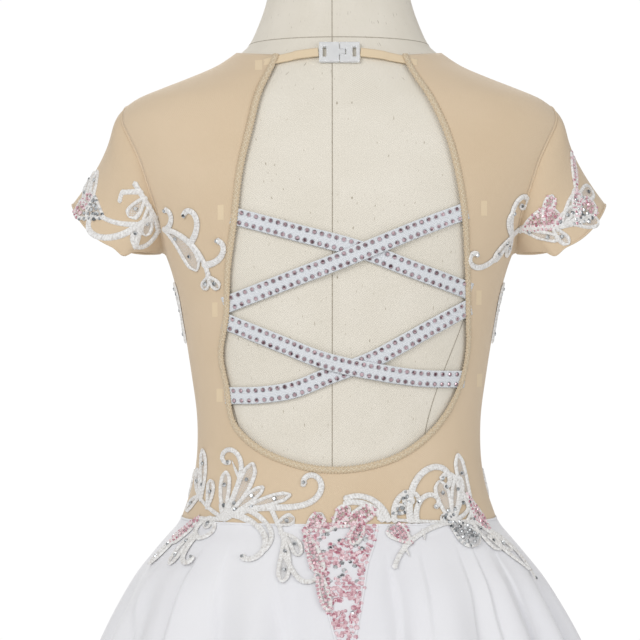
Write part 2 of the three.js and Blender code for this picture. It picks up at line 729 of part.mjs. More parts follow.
function ridge(surface, stem, spots, liftAt) {
  const points = [];
  const faces = [];
  spots.forEach((spot, k) => {
    const half = halfWidth(stem, k / (spots.length - 1));
    const lift = liftAt(spot) + half * half * LACE.bow;
    for (const [side, tall] of [[-half, 0], [0, LACE.tall], [half, 0]]) {
      points.push(surface(spot.u + side * spot.beside.u, spot.v + side * spot.beside.v, lift + tall));
    }
  });
  for (let k = 0; k < points.length - 3; k += 3) {
    for (const [a, b] of [[0, 1], [1, 2], [2, 0]]) {
      faces.push([k + a, k + 3 + a, k + 3 + b], [k + a, k + 3 + b, k + b]);
    }
  }
  const end = points.length - 3;
  faces.push([0, 1, 2], [end, end + 2, end + 1]);
  let volume = 0;
  for (const [a, b, c] of faces) {
    volume += points[a].dot(points[b].clone().cross(points[c]));
  }
  const order = faces.flatMap(([a, b, c]) => (volume > 0 ? [a, b, c] : [a, c, b]));
  return new wasm.Manifold(new wasm.Mesh({
    numProp: 3,
    vertProperties: new Float32Array(points.flatMap((point) => point.toArray())),
    triVerts: new Uint32Array(order),
  }));
}

const STEM_NAMES = ['name', 'from', 'share', 'head', 'length', 'bend', 'curl', 'wide', 'kind'];

// Joins the stems of one spray, each from its place along the one it grows out of.
function spray(name, surface, hub, rows, liftAt) {
  const walked = {};
  let solid = null;
  for (const stem of table(STEM_NAMES, rows)) {
    let start = hub;
    if (stem.from !== 'hub') {
      const spots = walked[stem.from];
      start = spots[Math.round(stem.share * (spots.length - 1))];
    }
    const spots = walk(surface, start, stem);
    walked[stem.name] = spots;
    const piece = ridge(surface, stem, spots, liftAt);
    solid = solid ? solid.add(piece) : piece;
  }
  const { vertProperties, triVerts } = solid.getMesh();
  const geometry = new THREE.BufferGeometry();
  geometry.setAttribute('position', new THREE.BufferAttribute(vertProperties, 3));
  geometry.setIndex(Array.from(triVerts));
  geometry.computeVertexNormals();
  addGeometry(name, 'lace', geometry);
}

// On the body and skirt u is the turn to the wearer's right and v the height.
const onCloth = (u, v, lift) => lifted(cloth, -u, v, lift);
const clothLift = (spot) => LACE.lift + Math.max(WAIST + 4 - spot.v, 0) * 0.02;
const hubAt = (x, z) => ({ u: -turnAtX(z < WAIST ? skirtSize : bodySize, x, z), v: z });

spray('lace_waist_back_left', onCloth, hubAt(93, 984), [
  ['arch', 'hub', 0, 12, 106, -45, 280, 5, 'scroll'],
  ['tall', 'hub', 0, 63, 53, -8, 0, 11, 'leaf'],
  ['crook', 'hub', 0, 102, 66, -8, -270, 5, 'scroll'],
  ['side', 'hub', 0, 118, 62, 8, 0, 11, 'leaf'],
  ['pink', 'hub', 0, 182, 32, 4, 0, 14, 'leaf'],
  ['fall', 'hub', 0, -78, 50, 0, -190, 5, 'scroll'],
  ['drop', 'arch', 0.2, -68, 40, 0, 0, 8, 'leaf'],
  ['low', 'hub', 0, -122, 48, 0, 0, 9, 'leaf'],
], clothLift);

spray('lace_waist_back_right', onCloth, hubAt(-95, 976), [
  ['hook', 'hub', 0, 142, 78, -30, -200, 5, 'scroll'],
  ['strip', 'hub', 0, 92, 47, 0, 0, 9, 'leaf'],
  ['side', 'hub', 0, 70, 62, 0, 0, 9, 'leaf'],
  ['arch', 'hub', 0, 166, 76, -6, 130, 5, 'scroll'],
  ['stem', 'hub', 0, 186, 66, 50, 0, 5, 'scroll'],
  ['pink', 'hub', 0, 20, 30, 0, 0, 13, 'leaf'],
  ['drop', 'hub', 0, -42, 41, 0, 0, 8, 'leaf'],
  ['trail', 'hub', 0, -26, 76, -40, -120, 5, 'scroll'],
], clothLift);

for (const { side, word } of SIDES) {
  const surface = (u, v, lift) => mirrored(lifted(cloth, -u, v, lift), side);
  const hub = { u: -124, v: 984 };
  spray(`lace_waist_front_${word}`, surface, hub, [
    ['arch', 'hub', 0, 14, 84, -8, 220, 5, 'scroll'],
    ['tall', 'hub', 0, 66, 50, -8, 0, 10, 'leaf'],
    ['crook', 'hub', 0, 104, 58, -6, -250, 5, 'scroll'],
    ['fall', 'hub', 0, -74, 48, 0, -180, 5, 'scroll'],
    ['low', 'hub', 0, -40, 42, 0, 0, 8, 'leaf'],
  ], clothLift);
}

spray('lace_shoulder_left', onCloth, hubAt(141, 1219), [
  ['stem', 'hub', 0, -38, 66, -14, 0, 5, 'scroll'],
  ['outer', 'stem', 0.6, -18, 31, 0, 215, 4, 'scroll'],
  ['upper', 'stem', 0.3, 62, 40, 0, 200, 4, 'scroll'],
  ['leaf', 'stem', 0.4, -62, 32, 0, 0, 11, 'leaf'],
], clothLift);
spray('lace_shoulder_right', onCloth, hubAt(-141, 1219), [
  ['stem', 'hub', 0, 238, 34, -6, 0, 5, 'scroll'],
  ['outer', 'stem', 0.8, 214, 30, 0, -230, 4, 'scroll'],
  ['upper', 'hub', 0, 116, 24, 0, -200, 4, 'scroll'],
  ['leaf', 'stem', 0.4, 292, 28, 0, 0, 10, 'leaf'],
], clothLift);

// On a sleeve u is the share of its length to the hem and v the way up.
const SLEEVE_ROWS = {
  left: [
    ['stem', 'hub', 0, 100, 47, -4, 10, 5, 'scroll'],
    ['ring', 'stem', 0.35, 16, 66, 34, 150, 5, 'scroll'],
    ['bud', 'stem', 0.6, 30, 23, 0, 0, 8, 'leaf'],
    ['cluster', 'ring', 0.3, 84, 40, 0, 0, 13, 'leaf'],
  ],
  right: [
    ['stem', 'hub', 0, 56, 54, 4, 0, 5, 'scroll'],
    ['pink', 'stem', 0.2, 86, 34, -8, 0, 13, 'leaf'],
    ['low', 'stem', 0.6, 14, 14, 0, 0, 6, 'leaf'],
    ['rise', 'stem', 0.8, 128, 42, -30, 0, 9, 'leaf'],
  ],
};
for (const { side, word } of SIDES) {
  const surface = (u, v, lift) => mirrored(sleeve(90 - v, u / 100, lift), side);
  spray(`lace_sleeve_${word}`, surface, { u: 23, v: -42 }, SLEEVE_ROWS[word], () => LACE.onSleeve);
}

for (const { side, word } of SIDES) {
  const surface = (u, v, lift) => mirrored(lifted(body, -u, v, lift), side);
  spray(`lace_side_${word}`, surface, { u: -83, v: 1148 }, [
    ['stem', 'hub', 0, 84, 36, 8, 0, 7, 'leaf'],
    ['low', 'hub', 0, -96, 20, 0, 0, 6, 'leaf'],
    ['hook', 'stem', 0.4, 140, 24, 0, -150, 4, 'scroll'],
  ], clothLift);
}

export default group;
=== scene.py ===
import math

import bmesh
import bpy
import numpy as np
from mathutils import Matrix, Vector


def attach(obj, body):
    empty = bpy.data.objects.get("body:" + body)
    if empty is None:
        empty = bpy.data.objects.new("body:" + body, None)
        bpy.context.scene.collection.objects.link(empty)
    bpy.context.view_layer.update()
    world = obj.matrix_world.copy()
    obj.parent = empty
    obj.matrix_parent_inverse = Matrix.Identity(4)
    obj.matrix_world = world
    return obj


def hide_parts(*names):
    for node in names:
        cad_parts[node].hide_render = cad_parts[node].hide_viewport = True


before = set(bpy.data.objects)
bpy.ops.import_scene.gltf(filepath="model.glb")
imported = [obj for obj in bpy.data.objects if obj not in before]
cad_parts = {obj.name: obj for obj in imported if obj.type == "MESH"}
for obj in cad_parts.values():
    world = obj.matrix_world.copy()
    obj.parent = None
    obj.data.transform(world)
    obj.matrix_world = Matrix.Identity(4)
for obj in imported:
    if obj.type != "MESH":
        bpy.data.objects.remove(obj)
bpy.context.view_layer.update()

# The dress form's torso: a hard shell without arms, covered in natural canvas that is cut in
# panels and sewn, with a seam down the back, one over each shoulder blade and one round the
# neck's root. Columns, in mm: height, half width, depth behind, depth in front, squareness.
BODY = np.array([
    (780, 158, 112, 92, 2.2),
    (840, 166, 119, 98, 2.2),
    (890, 160, 112, 100, 2.2),
    (930, 149, 100, 99, 2.25),
    (960, 138.5, 90, 97, 2.3),
    (980, 131, 84, 95, 2.3),
    (1005, 122.5, 78, 92, 2.35),
    (1025, 118.7, 74.5, 90.5, 2.35),
    (1046, 117.3, 73, 90, 2.35),
    (1070, 118, 74, 91, 2.35),
    (1100, 122, 77, 94, 2.35),
    (1135, 127.5, 82, 98, 2.35),
    (1165, 133, 87, 103, 2.35),
    (1190, 139.5, 91, 108, 2.35),
    (1210, 147, 93.5, 109, 2.35),
    (1235, 160, 95, 106, 2.35),
    (1262, 175, 94, 98, 2.35),
    (1288, 184.5, 90, 87, 2.35),
    (1306, 188, 86, 79, 2.35),
    (1316, 186.5, 83, 74, 2.35),
    (1325, 180, 80, 70, 2.3),
    (1333, 169, 76.5, 66, 2.3),
    (1341, 150, 73, 63, 2.25),
    (1350, 127, 69, 60, 2.2),
    (1360, 104, 64, 57.5, 2.15),
    (1372, 86, 57, 57.2, 2.1),
    (1380, 77, 53, 58, 2.05),
    (1400, 67.5, 45, 59.3, 2),
    (1420, 61, 41, 61, 2),
    (1440, 58.5, 40.3, 61.6, 2),
    (1455, 58, 40, 62, 2),
])
BUST = {"apart": 70, "z": 1205, "deep": 15, "spread": 39}
FORM_BOTTOM, NECK_TOP = 780, 1455


def track(rows, column):
    """A smooth reading of one column of a table by height."""
    heights, values = rows[:, 0], rows[:, column]
    low = np.maximum(np.arange(len(rows)) - 1, 0)
    high = np.minimum(np.arange(len(rows)) + 1, len(rows) - 1)
    slopes = (values[high] - values[low]) / (heights[high] - heights[low])

    def read(z):
        z = np.clip(z, heights[0], heights[-1])
        k = np.clip(np.searchsorted(heights, z) - 1, 0, len(rows) - 2)
        span = heights[k + 1] - heights[k]
        t = (z - heights[k]) / span
        lean = t * (1 - t) * ((1 - t) * slopes[k] - t * slopes[k + 1])
        return values[k] + (values[k + 1] - values[k]) * t * t * (3 - 2 * t) + span * lean

    return read


def sizes_of(rows):
    return [track(rows, column) for column in range(1, rows.shape[1])]


body_size = sizes_of(BODY)


def section(size, turn, z):
    """A point of a squared ellipse: turn 0 is the middle behind, 90 the wearer's left."""
    half, back, front, square = size[:4]
    sine, cosine = np.sin(np.radians(turn)), np.cos(np.radians(turn))
    power = 2 / square(z)
    depth = np.where(cosine > 0, back(z), front(z))
    x = half(z) * np.sign(sine) * np.abs(sine) ** power
    y = depth * np.sign(cosine) * np.abs(cosine) ** power
    return np.stack([x, y, z + 0 * x], axis=-1)


def body(turn, z):
    place = section(body_size, turn, z)
    cosine = np.minimum(np.cos(np.radians(turn)), 0)
    for x in (-BUST["apart"], BUST["apart"]):
        away = (place[..., 0] - x) ** 2 + (z - BUST["z"]) ** 2
        place[..., 1] -= BUST["deep"] * cosine**2 * np.exp(-away / (2 * BUST["spread"] ** 2))
    return place


def unit(v):
    return v / np.maximum(np.linalg.norm(v, axis=-1, keepdims=True), 1e-12)


def outward(surface, turn, z):
    across = surface(turn + 0.6, z) - surface(turn - 0.6, z)
    up = surface(turn, z + 1.5) - surface(turn, z - 1.5)
    return unit(np.cross(up, across))


def lifted(surface, turn, z, lift):
    return surface(turn, z) + outward(surface, turn, z) * np.asarray(lift)[..., None]


def spread(net, columns, rows, at, middle=(0, 0)):
    """Lays a flat net of cloth, each point carried to at(across, along), and faces it out."""
    made = bmesh.ops.create_grid(net, x_segments=columns, y_segments=rows, size=1)["verts"]
    shares = np.array([vert.co[:2] for vert in made]) * 0.5 + 0.5
    places, flat = at(shares[:, 0], shares[:, 1])
    weave = net.loops.layers.uv.get("cloth") or net.loops.layers.uv.new("cloth")
    faces = set()
    for vert, place, length in zip(made, places * 0.001, flat * 0.001):
        vert.co = place
        for loop in vert.link_loops:
            loop[weave].uv = length
            faces.add(loop.face)
    faces = list(faces)
    facing = 0
    for face in faces:
        face.normal_update()
        centre = face.calc_center_median()
        facing += face.normal.dot(Vector((centre.x - middle[0] / 1000, centre.y - middle[1] / 1000, 0)))
    if facing < 0:
        bmesh.ops.reverse_faces(net, faces=faces)
    return made


def settle(name, net, finish, slot_name, *nodes, smooth=True):
    """Makes one piece of a net: its finish and the solid it stands for. Its slot_name is not used."""
    mesh = bpy.data.meshes.new(name)
    net.to_mesh(mesh)
    net.free()
    if smooth:
        mesh.shade_smooth()
    mesh.materials.append(finish)
    piece = bpy.data.objects.new(name, mesh)
    bpy.context.collection.objects.link(piece)
    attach(piece, "root")
    if nodes:
        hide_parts(*nodes)
    return piece


def finish_of(name, colour, roughness, **sockets):
    """A new finish, with the plain values of its shader."""
    finish = bpy.data.materials.new(name)
    finish.use_nodes = True
    shader = finish.node_tree.nodes["Principled BSDF"]
    shader.inputs["Base Color"].default_value = (*colour, 1)
    shader.inputs["Roughness"].default_value = roughness
    for socket, value in sockets.items():
        shader.inputs[socket.replace("_", " ")].default_value = value
    return finish, finish.node_tree, shader


def put(tree, kind, settings=None, **inputs):
    """Adds a node; each input, named or as i0, i1, is a value or another node's output."""
    node = tree.nodes.new(kind)
    for key, value in (settings or {}).items():
        setattr(node, key, value)
    for key, value in inputs.items():
        socket = node.inputs[int(key[1:])] if key[1:].isdigit() else node.inputs[key]
        if isinstance(value, bpy.types.NodeSocket):
            tree.links.new(value, socket)
        else:
            socket.default_value = value
    return node


def maths(tree, operation, *values, clamp=False):
    settings = {"operation": operation, "use_clamp": clamp}
    return put(tree, "ShaderNodeMath", settings, **{f"i{k}": v for k, v in enumerate(values)}).outputs[0]


def shaded(tree, factor, dark, light):
    """From one colour to the other by the factor; each is a tone or another node's output."""
    ends = [c if isinstance(c, bpy.types.NodeSocket) else (*c, 1) for c in (dark, light)]
    settings = {"data_type": "RGBA"}
    return put(tree, "ShaderNodeMix", settings, i0=factor, i6=ends[0], i7=ends[1]).outputs[2]


def painted(tree, shader, factor, dark, light):
    tree.links.new(shaded(tree, factor, dark, light), shader.inputs["Base Color"])


def ranged(tree, value, low, high, start=0.0, end=1.0):
    limits = {"From Min": low, "From Max": high, "To Min": start, "To Max": end}
    return put(tree, "ShaderNodeMapRange", Value=value, **limits).outputs[0]


def scaled(tree, vector, *factors):
    return put(tree, "ShaderNodeMapping", Vector=vector, Scale=factors).outputs[0]


def bumped(tree, shader, height, distance, strength=1.0):
    bump = put(tree, "ShaderNodeBump", Height=height, Distance=distance, Strength=strength)
    tree.links.new(bump.outputs["Normal"], shader.inputs["Normal"])


def tone(r, g, b):
    """A colour given as it looks, from 0 to 255, as the shader wants it."""
    return tuple((c / 255 / 12.92) if c <= 10 else ((c / 255 + 0.055) / 1.055) ** 2.4 for c in (r, g, b))


def laid_flat(tree):
    """Where a point lies on its piece of cloth before that is sewn."""
    return put(tree, "ShaderNodeUVMap", {"uv_map": "cloth"}).outputs["UV"]


def measures(tree, vector):
    return put(tree, "ShaderNodeSeparateXYZ", Vector=vector).outputs[:2]


def weave_group():
    """Crossed threads: Threads to the metre on the flat cloth, and the height they make."""
    group = bpy.data.node_groups.new("crossed threads", "ShaderNodeTree")
    group.interface.new_socket("Cloth", in_out="INPUT", socket_type="NodeSocketVector")
    group.interface.new_socket("Threads", in_out="INPUT", socket_type="NodeSocketFloat")
    group.interface.new_socket("Height", in_out="OUTPUT", socket_type="NodeSocketFloat")
    start = group.nodes.new("NodeGroupInput")
    end = group.nodes.new("NodeGroupOutput")
    turn = maths(group, "MULTIPLY", start.outputs["Threads"], math.pi)
    waves = [maths(group, "SINE", maths(group, "MULTIPLY", part, turn))
             for part in measures(group, start.outputs["Cloth"])]
    height = maths(group, "MULTIPLY_ADD", maths(group, "MULTIPLY", *waves), 0.5, 0.5)
    group.links.new(height, end.inputs["Height"])
    return group


WEAVE = weave_group()


def woven(tree, threads):
    cloth = laid_flat(tree)
    node = put(tree, "ShaderNodeGroup", {"node_tree": WEAVE}, Cloth=cloth, Threads=threads)
    return node.outputs["Height"], cloth


def mottled(tree, vector, scale, detail=3.0):
    return put(tree, "ShaderNodeTexNoise", Vector=vector, Scale=scale, Detail=detail).outputs["Fac"]


def canvas_finish():
    finish, tree, shader = finish_of("natural_canvas", tone(222, 216, 203), 0.95, Sheen_Weight=0.15)
    height, cloth = woven(tree, 900.0)
    fleck = ranged(tree, mottled(tree, scaled(tree, cloth, 1, 0.25, 1), 620.0, 1.0), 0.71, 0.8)
    ground = shaded(tree, mottled(tree, cloth, 22.0), tone(229, 222, 207), tone(243, 237, 225))
    painted(tree, shader, fleck, ground, tone(176, 166, 148))
    bumped(tree, shader, height, 0.0004, 0.6)
    return finish


canvas = canvas_finish()
torso = bmesh.new()
CANVAS_DEGREE = 2.3


def torso_at(across, along):
    turn, z = across * 360, FORM_BOTTOM + along * (NECK_TOP - FORM_BOTTOM)
    return body(turn, z), np.stack([turn * CANVAS_DEGREE, z], axis=-1)


spread(torso, 160, 150, torso_at)
bmesh.ops.remove_doubles(torso, verts=torso.verts, dist=1e-5)
bmesh.ops.holes_fill(torso, edges=torso.edges, sides=0)
settle("form_canvas", torso, canvas, "canvas", "form_torso")


# The form's seams: where two panels of the canvas meet, sewn by machine and pressed open, so
# that only a dark thread shows. Each is a narrow strip along a path of turns and heights.
AHEAD, CUPPED, KNOT_ROWS = 0.004, 0.004, 3


def path_of(points, count):
    """Even steps along a smooth line through points of any size."""
    points = np.asarray(points, float)
    gaps = np.concatenate([[0], np.cumsum(np.linalg.norm(np.diff(points, axis=0), axis=1))])
    slopes = np.gradient(points, gaps, axis=0)
    run = np.linspace(0, gaps[-1], 600)
    k = np.clip(np.searchsorted(gaps, run) - 1, 0, len(points) - 2)
    span = gaps[k + 1] - gaps[k]
    t = ((run - gaps[k]) / span)[:, None]
    smooth = points[k] + (points[k + 1] - points[k]) * t * t * (3 - 2 * t)
    smooth += span[:, None] * t * (1 - t) * ((1 - t) * slopes[k] - t * slopes[k + 1])
    far = np.concatenate([[0], np.cumsum(np.linalg.norm(np.diff(smooth, axis=0), axis=1))])
    share = np.linspace(0, far[-1], count)
    return np.stack([np.interp(share, far, smooth[:, c]) for c in range(points.shape[1])], axis=-1)


def along_line(line, shares):
    at = np.clip(shares, 0, 1) * (len(line) - 1)
    return np.stack([np.interp(at, np.arange(len(line)), line[:, c]) for c in range(line.shape[1])], axis=-1)


def strip(net, surface, line, steps, wide, lift, arch=0.0, columns=4, reach=(0, 1), knots=None):
    """A strip of even width laid along a line of turns and heights on a surface."""
    def at(across, along):
        share = reach[0] + (reach[1] - reach[0]) * along
        spot = along_line(line, share)
        length = np.linalg.norm(np.diff(surface(line[:, 0], line[:, 1]), axis=0), axis=1).sum()
        ahead = along_line(line, share + AHEAD) - along_line(line, share - AHEAD)
        turn, z = spot[:, 0], spot[:, 1]
        forward = surface(turn + ahead[:, 0], z + ahead[:, 1]) - surface(turn, z)
        normal = outward(surface, turn, z)
        side = unit(np.cross(forward, normal))
        beside = (across - 0.5) * wide(share) if callable(wide) else (across - 0.5) * wide
        height = (lift(share) if callable(lift) else lift) + arch * (1 - (2 * across - 1) ** 2)
        height = height + beside**2 * CUPPED
        if knots:
            pitch, tall = knots
            row = np.round(across * KNOT_ROWS)
            wave = np.sin(share * length / pitch * 2 * math.pi + row * math.pi)
            height = height + tall * wave * np.sin(across * KNOT_ROWS * math.pi)
        place = surface(turn, z) + side * beside[:, None] + normal * height[:, None]
        return place, np.stack([beside, share * length], axis=-1)
    spread(net, columns, steps, at)


def turn_at_x(size, x, z):
    share = np.minimum(np.abs(x) / size[0](z), 1)
    return np.sign(x) * np.degrees(np.arcsin(share ** (size[3](z) / 2)))


def seam_finish():
    finish, tree, shader = finish_of("form_seam_thread", tone(150, 138, 122), 0.95)
    worn = mottled(tree, laid_flat(tree), 260.0, 2.0)
    painted(tree, shader, worn, tone(138, 126, 108), tone(206, 198, 183))
    return finish


seam_thread = seam_finish()
SEAM_WIDE = 0.75
FORM_SEAMS = [
    ("back_middle", "x", [(6, 800), (6, 1000), (6, 1200), (6, 1382)]),
    ("back_neck", "x", [(6, 1382), (6, 1420), (6, 1453)]),
    ("back_right", "x", [(-84, 800), (-74, 960), (-69, 1045), (-102, 1147), (-128, 1215), (-150, 1290)]),
    ("back_left", "x", [(96, 800), (86, 960), (81, 1045), (114, 1147), (138, 1215), (160, 1290)]),
    ("front_middle", "turn", [(180, 800), (180, 1000), (180, 1200), (180, 1350)]),
    ("neck_root", "turn", [(s, 1381 + 1.5 * math.cos(math.radians(s))) for s in range(0, 361, 15)]),
]
for word, kind, points in FORM_SEAMS:
    line = path_of(points, 300)
    if kind == "x":
        line[:, 0] = turn_at_x(body_size, line[:, 0], line[:, 1])
    seam = bmesh.new()
    strip(seam, body, line, 220, SEAM_WIDE, 0.1, arch=0.2)
    settle(f"form_seam_{word}", seam, seam_thread, "canvas")

# The neck cap and the stand: a turned wooden cap under the same canvas, and a steel pole
# between a flange screwed to the torso and a heavy round foot, all brushed and lacquered.
POLE, FLANGE_RADIUS, FLANGE_THICK, CLEAR, CAP_TALL = 12.5, 45, 6, 0.35, 13
FOOT = [
    (0, 0), (186, 0), (189, 1), (190, 3), (190, 9), (189, 11.5), (186, 13.3), (182, 14.2),
    (120, 16), (60, 17.4), (32, 18), (27, 19), (24, 21), (22.6, 24), (22, 28), (22, 44),
    (21.3, 46.6), (19.5, 47.7), (17, 48), (0, 48),
]


def steel_finish():
    finish, tree, shader = finish_of("brushed_steel", tone(178, 181, 185), 0.32, Metallic=0.95)
    where = put(tree, "ShaderNodeTexCoord").outputs["Object"]
    grain = mottled(tree, scaled(tree, where, 40, 40, 900), 2.0, 4.0)
    painted(tree, shader, grain, tone(166, 169, 174), tone(190, 193, 197))
    tree.links.new(ranged(tree, grain, 0.0, 1.0, 0.24, 0.42), shader.inputs["Roughness"])
    bumped(tree, shader, grain, 0.0001, 0.3)
    return finish


def turned(name, profile, sides, finish, slot_name, node):
    """A piece turned on a lathe from half its outline, radius and height in mm."""
    net = bmesh.new()
    verts = [net.verts.new((radius / 1000, 0, z / 1000)) for radius, z in profile]
    edges = [net.edges.new(pair) for pair in zip(verts, verts[1:])]
    bmesh.ops.spin(net, geom=verts + edges, axis=(0, 0, 1), angle=2 * math.pi, steps=sides,
                   use_merge=True)
    bmesh.ops.remove_doubles(net, verts=net.verts, dist=1e-6)
    bmesh.ops.recalc_face_normals(net, faces=net.faces)
    return settle(name, net, finish, slot_name, node)


steel = steel_finish()
flange_low = FORM_BOTTOM - CLEAR - FLANGE_THICK
turned("stand_foot", FOOT, 96, steel, "metal", "stand_base")
turned("stand_tube", [
    (0, 48.4), (POLE - 0.5, 48.4), (POLE, 49), (POLE, 400), (POLE, flange_low - 1),
    (POLE - 0.5, flange_low - CLEAR), (0, flange_low - CLEAR),
], 48, steel, "metal", "stand_pole")
turned("stand_plate", [
    (0, flange_low), (FLANGE_RADIUS - 1, flange_low), (FLANGE_RADIUS, flange_low + 1),
    (FLANGE_RADIUS, flange_low + FLANGE_THICK - 1),
    (FLANGE_RADIUS - 1, flange_low + FLANGE_THICK), (0, flange_low + FLANGE_THICK),
], 64, steel, "metal", "stand_flange")
cap = bmesh.new()


def cap_at(across, along):
    rise = np.sin(along * math.pi / 2)
    shrink = np.where(along < 0.5, 1 - 0.18 * (2 * along) ** 3, 0.82 * (1 - (2 * along - 1)))
    lift = np.where(along < 0.5, CAP_TALL * (2 * along) ** 0.8, CAP_TALL)
    place = body(across * 360, NECK_TOP + 0 * across) * (1, 1, 0) * shrink[:, None]
    place[:, 2] = NECK_TOP + CLEAR + lift
    return place, np.stack([across * 360, along * 60], axis=-1)


spread(cap, 96, 24, cap_at)
bmesh.ops.remove_doubles(cap, verts=cap.verts, dist=1e-5)
bmesh.ops.holes_fill(cap, edges=cap.edges, sides=0)
bmesh.ops.recalc_face_normals(cap, faces=cap.faces)
settle("neck_cover", cap, canvas, "canvas", "neck_cap")

# The bodice's back: one piece of skin-coloured stretch mesh, from the shoulders round the
# open back to the dropped waist, cut on the fold and turned under at the opening.
WAIST, NECK_SEAM, SHOULDER_END, UNDERARM, SIDE = 980, 1373, 1328, 1204, 89.95
PANEL_LIFT, CLOTH, VISIBLE_CLOTH, BODICE_DEGREE = 1.4, 1.2, 0.8, 2.2
PANEL_FACE = PANEL_LIFT + CLOTH
ARMHOLE = {"middle": 1266, "tall": 62, "back": 50, "front": 46, "ease": 1.5}
OPENING_LEFT = [
    (51.5, 1366), (54.5, 1358), (65.4, 1334), (72.6, 1305), (80.4, 1271), (85.5, 1226),
    (90.4, 1188), (91.5, 1153), (96.2, 1118), (91.8, 1094), (84.9, 1061), (65.2, 1042),
    (44.8, 1032.4), (24.4, 1026.8), (0, 1025),
]
OPENING_RIGHT = [
    (-53.5, 1366), (-56.6, 1358), (-75.1, 1327), (-88.6, 1296), (-95.1, 1271), (-99.8, 1244),
    (-103.3, 1197), (-104.5, 1150), (-104.6, 1124), (-97, 1090.6), (-80.1, 1061.6),
    (-67.6, 1049), (-50, 1037), (-28, 1029), (0, 1025),
]


def turn_at_y(size, y, z):
    depth = np.where(y > 0, size[1](z), size[2](z))
    turn = np.degrees(np.arccos((np.abs(y) / depth) ** (size[3](z) / 2)))
    return np.where(y > 0, np.minimum(turn, SIDE), np.maximum(180 - turn, 180 - SIDE))


def armhole_at(angle, ease):
    sine = np.sin(np.radians(angle))
    deep = np.where(sine > 0, ARMHOLE["back"], ARMHOLE["front"])
    z = ARMHOLE["middle"] + (ARMHOLE["tall"] - ease) * np.cos(np.radians(angle))
    return turn_at_y(body_size, (deep - ease) * sine, z), z


def blend(low, high, share):
    return low + (high - low) * share


def back_outer(share):
    """The outer edge of half the back: shoulder seam, armhole, side seam, waist seam."""
    f = [np.clip((share - low) / (high - low), 0, 1) for low, high in
         ((0, 0.09), (0.09, 0.4), (0.4, 0.72), (0.72, 1))]
    hole_turn, hole_z = armhole_at(180 * f[1], 0)
    edges = [
        (SIDE + 0 * share, blend(NECK_SEAM, SHOULDER_END, f[0])),
        (hole_turn, hole_z),
        (SIDE + 0 * share, blend(UNDERARM, WAIST + 0.2, f[2])),
        (blend(SIDE, 0, f[3]), WAIST + 0.2 + 0 * share),
    ]
    part = [share < 0.09, share < 0.4, share < 0.72]
    return tuple(np.select(part, [edge[k] for edge in edges[:3]], edges[3][k]) for k in (0, 1))


def mesh_finish():
    finish, tree, shader = finish_of("skin_mesh", tone(226, 204, 174), 0.8, Sheen_Weight=0.25)
    height, cloth = woven(tree, 1300.0)
    painted(tree, shader, mottled(tree, cloth, 9.0, 4.0), tone(217, 193, 160), tone(232, 211, 183))
    creases = mottled(tree, scaled(tree, cloth, 1, 0.4, 1), 30.0, 2.0)
    both = maths(tree, "MULTIPLY_ADD", creases, 4.0, height)
    bumped(tree, shader, both, 0.0003, 0.5)
    return finish


skin_mesh = mesh_finish()
opening = {1: path_of(OPENING_LEFT, 400), -1: path_of(OPENING_RIGHT, 400)}


def thickened(piece, thick):
    wall = piece.modifiers.new("cloth thickness", "SOLIDIFY")
    wall.thickness, wall.offset = thick / 1000, -1
    return piece


back = bmesh.new()
for side in (1, -1):
    def half_back(across, along, side=side):
        inner = along_line(opening[side], across)
        turn_out, z_out = back_outer(across)
        turn_in = turn_at_x(body_size, inner[:, 0], inner[:, 1])
        turn = blend(turn_in, side * turn_out, along)
        z = blend(inner[:, 1], z_out, along)
        return lifted(body, turn, z, PANEL_FACE), np.stack([turn * BODICE_DEGREE, z], axis=-1)
    spread(back, 200, 24, half_back)
bmesh.ops.remove_doubles(back, verts=back.verts, dist=1e-5)
back_piece = thickened(settle("back_mesh", back, skin_mesh, "mesh", "back_panel"), VISIBLE_CLOTH)

# The bodice's front, of the same mesh in one piece with a high round neck, sewn to the
# back at the sides and over the shoulders.
NECKLINE_FRONT = 1330
front = bmesh.new()


def front_side(share):
    z = blend(WAIST + 0.2, NECK_SEAM, share)
    angle = -np.degrees(np.arccos(np.clip((z - ARMHOLE["middle"]) / ARMHOLE["tall"], -1, 1)))
    return armhole_at(angle, 0)[0], z


def front_at(across, along):
    u = across - 0.5
    u = 0.5 + np.sign(u) * (0.5 - (0.5 - np.abs(u)) ** 1.5 / 0.5**0.5)
    side_turn, side_z = front_side(along)
    dip = (NECK_SEAM - NECKLINE_FRONT) * np.sin(math.pi * np.clip(u, 0, 1)) ** 1.4
    turn = blend(side_turn, 360 - side_turn, u)
    z = side_z - dip * along**2
    return lifted(body, turn, z, PANEL_FACE), np.stack([turn * BODICE_DEGREE, z], axis=-1)


spread(front, 120, 200, front_at)
front_piece = thickened(settle("front_mesh", front, skin_mesh, "mesh", "front_panel"), VISIBLE_CLOTH)

# The cap sleeves: a curved piece of the mesh eased into each armhole, standing off the
# shoulder and open below, its hem turned under.


def cord(net, line, radius, steps, sides=8, closed=False):
    """A round cord along a line of points."""
    def at(across, along):
        share = along % 1 if closed else along
        spot = along_line(line, share)
        ahead = along_line(line, share + 0.003) - along_line(line, share - 0.003)
        normal = unit(np.cross(ahead, np.cross(spot * (1, 1, 0) + (0, 0, 1), ahead)))
        side = unit(np.cross(ahead, normal))
        turn = 2 * math.pi * (across % 1)
        place = spot + radius * (np.cos(turn)[:, None] * normal + np.sin(turn)[:, None] * side)
        return place, np.stack([across * 6.3 * radius, along * 400], axis=-1)
    made = spread(net, sides, steps, at)
    bmesh.ops.remove_doubles(net, verts=made, dist=1e-5)


SLEEVE_HEM = {"out": 189, "swing": 37, "deep": 52, "z": 1204.5, "rise": 41}


